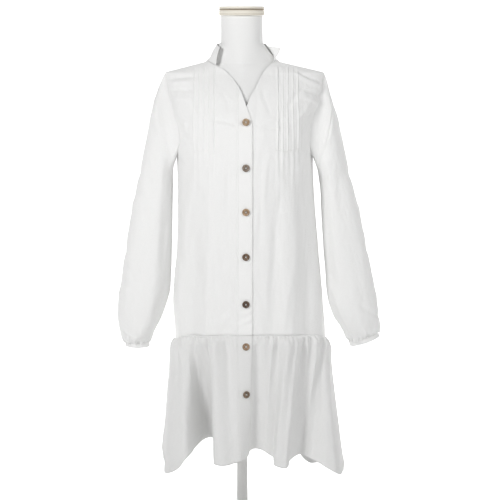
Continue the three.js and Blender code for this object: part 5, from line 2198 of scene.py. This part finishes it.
@dataclass
class DressForm:
    """Covered form with its neck cap, post and foot."""

    finishes: Finishes
    stitches: StitchRun
    sides: int = 120
    lean: float = 0.4  # share of the dress's middle line that the form follows
    below_cloth: float = 2.4  # mm from the shoulder's cloth down to the form
    neck_curve: float = 1.4  # above 1, the neck runs in faster at its foot
    breastbone: float = 4.2  # how far the form is fuller under the neckline's point
    sections: Table = Table(
        ("z", "half", "front", "back", "square"),
        (
            (520, 136, 88, 92, 2.1),
            (524, 140, 92, 96, 2.1),
            (560, 144, 96, 100, 2.1),
            (640, 146, 98, 104, 2.1),
            (720, 131, 92, 96, 2.05),
            (790, 116, 87, 84, 2),
            (860, 124, 95, 88, 2.05),
            (915, 136, 113, 98, 2.15),
            (950, 141, 119, 104, 2.2),
            (1000, 149, 107, 103, 2.15),
            (1050, 159, 88, 92, 2.05),
            (1080, 163, 70, 77, 1.95),
        ),
    )
    neck: Table = Table(
        ("z", "half", "front", "back"),
        (
            (1150, 53, 46, 47),
            (1168, 47.5, 45, 46),
            (1200, 46.8, 45, 45),
            (1230.6, 46.8, 45, 45),
        ),
    )
    shoulder_front: tuple[float, float] = (56, 46)  # depth in front, from the tip to the neck
    shoulder_back: float = 13  # mm less than the dress behind
    shoulder_square: float = 1.2
    neck_foot: tuple[float, ...] = (1172, 0, 47.3, 45, 46, 2)  # a ring's numbers
    breastbone_at: tuple[float, float] = (1062, 24)  # z and spread up and down
    breastbone_width: float = 26
    turned_sides: int = 96
    cap_outline: Outline = (
        (0, 1231), (49.5, 1231), (50.5, 1232), (50.7, 1236), (50.5, 1241.5), (49.6, 1242.5), (47.6, 1242.8),
        (47.6, 1245.2), (49.6, 1245.6), (50.5, 1246.6), (50.5, 1249.4), (49.2, 1250.9), (46, 1251), (0, 1251),
    )  # fmt: skip
    groove_outline: Outline = ((0, 1243), (47.65, 1243), (47.9, 1244), (47.65, 1245), (0, 1245))
    post_outline: Outline = (
        (0, 36.3), (12.5, 36.3), (12.5, 501.7), (14, 503), (20, 504.7), (21, 506), (21, 519.7), (0, 519.7),
    )  # fmt: skip
    foot_outline: Outline = (
        (0, 0), (149, 0), (150, 1), (150, 9.5), (149, 12.2), (146, 14), (27, 14), (26, 14.6), (22.5, 34),
        (21, 36), (0, 36),
    )  # fmt: skip
    beads: Table = Table(("radius", "z", "thick"), ((50.2, 1244.0, 1.0), (50.8, 1234.0, 0.35)))
    bead_pitch: float = 3.2

    def ring(self, z: float, middle: float, half: float, front: float, back: float, square: float) -> Array:
        """One horizontal section.

        Args:
            z: its height.
            middle: its middle across.
            half: half its width.
            front: its depth in front.
            back: its depth behind.
            square: 2 for an oval, more for a squarer one.

        Returns:
            Its points.
        """
        angle = np.radians(np.arange(self.sides) * 360 / self.sides)
        depth = np.where(np.cos(angle) > 0, front, back)
        x = middle + half * power(np.sin(angle), 2 / square)
        y = -depth * power(np.cos(angle), 2 / square)
        return np.stack([x, y, np.full(self.sides, z)], -1)

    def body(self) -> None:
        """Make the form's body and neck in one smooth skin."""
        rings = []
        for z in np.concatenate([[520, 524], np.linspace(532, 1080, 60)]):
            half, front, back, square = (
                float(self.sections.smooth(name, z)) for name in ("half", "front", "back", "square")
            )
            middle = self.lean * float(BODICE.smooth("middle", z))
            rings.append(self.ring(z, middle, half, front, back, square))
        tip, neck = BODICE.rows[-2], BODICE.rows[-1]
        for share in np.linspace(0.12, 0.84, 11):
            z = mix(SHOULDER_Z, NECK_Z, share) - self.below_cloth
            front = mix(*self.shoulder_front, share)
            back = float(BODICE.smooth("back", z)) - self.shoulder_back
            middle, half = mix(tip[1], neck[1], share), mix(tip[2], neck[2], share)
            rings.append(self.ring(z, middle, half, front, back, self.shoulder_square))
        low = rings[-1]
        high = self.ring(*self.neck_foot)
        for t in np.linspace(0, 1, 14)[1:-1]:
            level = mix(low, high, ease(t) * 0.35 + 0.65 * t)
            level[:, 0] = mix(low, high, 1 - (1 - t) ** self.neck_curve)[:, 0]
            rings.append(level)
        for z in np.linspace(self.neck_foot[0], self.neck.rows[-1][0], 12):
            half, front, back = (float(self.neck.smooth(name, z)) for name in ("half", "front", "back"))
            rings.append(self.ring(z, 0, half, front, back, 2))
        grid = np.array(rings)
        height, spread = self.breastbone_at
        full = bump(grid[..., 0], self.breastbone_width) * bump(grid[..., 2] - height, spread)
        grid[..., 1] -= self.breastbone * full * (grid[..., 1] < 0)
        skin = mesh_object("form_skin", grid.reshape(-1, 3), tube_faces(len(rings), self.sides))
        finish_piece(skin, self.finishes.cover, ("form_body",))

    def cap(self) -> None:
        """Cloth-covered cap with a groove and a row of beads."""
        cap = turned_object("neck_cap", self.cap_outline, self.turned_sides)
        finish_piece(cap, self.finishes.trim, ("form_neck_cap",))
        groove = turned_object("cap_groove", self.groove_outline, self.turned_sides)
        finish_piece(groove, self.finishes.groove)
        angle = np.linspace(0, 2 * np.pi, 200)
        for name, (radius, z, thick) in zip(("cap_beads", "cap_edge"), self.beads.rows):
            ring = np.stack([radius * np.cos(angle), radius * np.sin(angle), np.full_like(angle, z)], -1)
            beads = self.stitches.lay(name, [ring], self.finishes.bead, self.bead_pitch, thick)
            finish_piece(beads, self.finishes.bead)

    def build(self) -> None:
        """Make the form and its stand."""
        self.body()
        self.cap()
        post = turned_object("post", self.post_outline, self.turned_sides // 2)
        finish_piece(post, self.finishes.paint, ("stand_post",))
        foot = turned_object("foot", self.foot_outline, self.turned_sides)
        finish_piece(foot, self.finishes.paint, ("stand_foot",))


@dataclass(frozen=True)
class Lamp:
    """A large soft lamp that faces the dress, in metres and watts."""

    name: str
    place: tuple[float, float, float]
    size: float
    energy: float

    def build(self) -> None:
        """Place the lamp, unseen by the camera."""
        lamp = bpy.data.lights.new(self.name, "AREA")
        lamp.shape = "SQUARE"
        lamp.size = self.size
        lamp.energy = self.energy
        holder = bpy.data.objects.new(self.name, lamp)
        place = Vector(self.place)
        holder.location = place
        holder.rotation_euler = (place - Vector((0, 0, 0.75))).to_track_quat("Z", "Y").to_euler()
        holder.visible_camera = False
        bpy.context.scene.collection.objects.link(holder)


@dataclass(frozen=True)
class Studio:
    """Camera, floor and lights, in metres."""

    distance: float = 3.0
    aim: tuple[float, float, float] = (0.0184, 0.0, 0.7)
    pitch: float = 10.0
    frame_width: float = 1.15
    sensor: float = 36.0
    floor_front: float = -6.0
    floor_back: float = 3.2
    floor_half: float = 7.0
    curve: float = 1.2
    wall: float = 6.0
    below_foot: float = 0.0005
    glow_front: float = 0.0
    glow_behind: float = 0.95
    sky: float = 0.2
    lamps: tuple[Lamp, ...] = (
        Lamp("key", (-1.3, -1.7, 1.7), 0.5, 25.0),
        Lamp("fill", (1.2, -1.8, 1.8), 1.2, 13.5),
        Lamp("side", (1.9, -0.6, 1.5), 1.0, 5.0),
        Lamp("top", (0.2, 0.4, 3.4), 1.4, 4.0),
    )

    def camera(self) -> None:
        """Place the camera at the photograph's angle."""
        lens = bpy.data.cameras.new("camera")
        lens.sensor_width = self.sensor
        lens.lens = self.sensor * self.distance / self.frame_width
        lens.clip_end = 50.0
        camera = bpy.data.objects.new("camera", lens)
        tilt = math.radians(self.pitch)
        back = Vector((0, -math.cos(tilt), math.sin(tilt))) * self.distance
        camera.location = Vector(self.aim) + back
        camera.rotation_euler = (math.radians(90 - self.pitch), 0, 0)
        bpy.context.scene.collection.objects.link(camera)
        bpy.context.scene.camera = camera

    def floor(self) -> None:
        """Pale floor that curves up into a pale wall far behind."""
        back, curve = self.floor_back, self.curve
        profile = [(self.floor_front, 0.0), (back, 0.0)]
        for a in np.linspace(0.1, math.pi / 2, 14):
            profile.append((back + curve * math.sin(a), curve - curve * math.cos(a)))
        profile.append((back + curve, self.wall))
        half = self.floor_half
        points = [(x, y, z - self.below_foot) for y, z in profile for x in (-half, half)]
        faces = [[2 * k, 2 * k + 1, 2 * k + 3, 2 * k + 2] for k in range(len(profile) - 1)]
        floor = mesh_object("floor", np.array(points) / MM, faces)
        # Pale paper, almost white, with a painted glow: none in front and strong behind the dress, so that it
        # fades into the wall and lights the dress's edges from behind.
        graph = Graph("floor")
        place = graph.add("ShaderNodeTexCoord").outputs["Object"]
        graph.dye(graph.noise(place, 3.0, 2.0), "fbfbfb", "ffffff")
        depth = graph.add("ShaderNodeSeparateXYZ", {0: place}).outputs["Y"]
        # The painted glow: emission from none in front of the dress to strong behind it.
        reach = {1: -0.1, 2: 0.6, 3: self.glow_front, 4: self.glow_behind}
        graph.feed("Emission Strength", graph.add("ShaderNodeMapRange", {0: depth}, reach).outputs[0])
        graph.constants({"Roughness": 0.9, "Emission Color": (1.0, 1.0, 1.0, 1.0)})
        floor.data.materials.append(graph.material)

    def build(self) -> None:
        """Make camera, floor, lamps and sky."""
        self.camera()
        self.floor()
        for lamp in self.lamps:
            lamp.build()
        world = bpy.data.worlds.new("studio")
        world.use_nodes = True
        sky = world.node_tree.nodes["Background"].inputs
        sky["Color"].default_value = (1, 1, 1, 1)
        sky["Strength"].default_value = self.sky
        bpy.context.scene.world = world
        bpy.context.scene.view_settings.view_transform = "Standard"


def main() -> None:
    """Build the studio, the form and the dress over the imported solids."""
    logging.basicConfig(level=logging.INFO, format="%(message)s")
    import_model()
    Studio().build()
    finishes = Finishes()
    stitches = StitchRun()
    Buttons(finishes).build()
    DressForm(finishes, stitches).build()
    Bodice(finishes, stitches).build()
    Collar(finishes, stitches).build()
    for side in (-1, 1):
        Sleeve(side, finishes, stitches).build()
    Skirt(finishes, stitches).build()


if __name__ == "__main__":
    main()
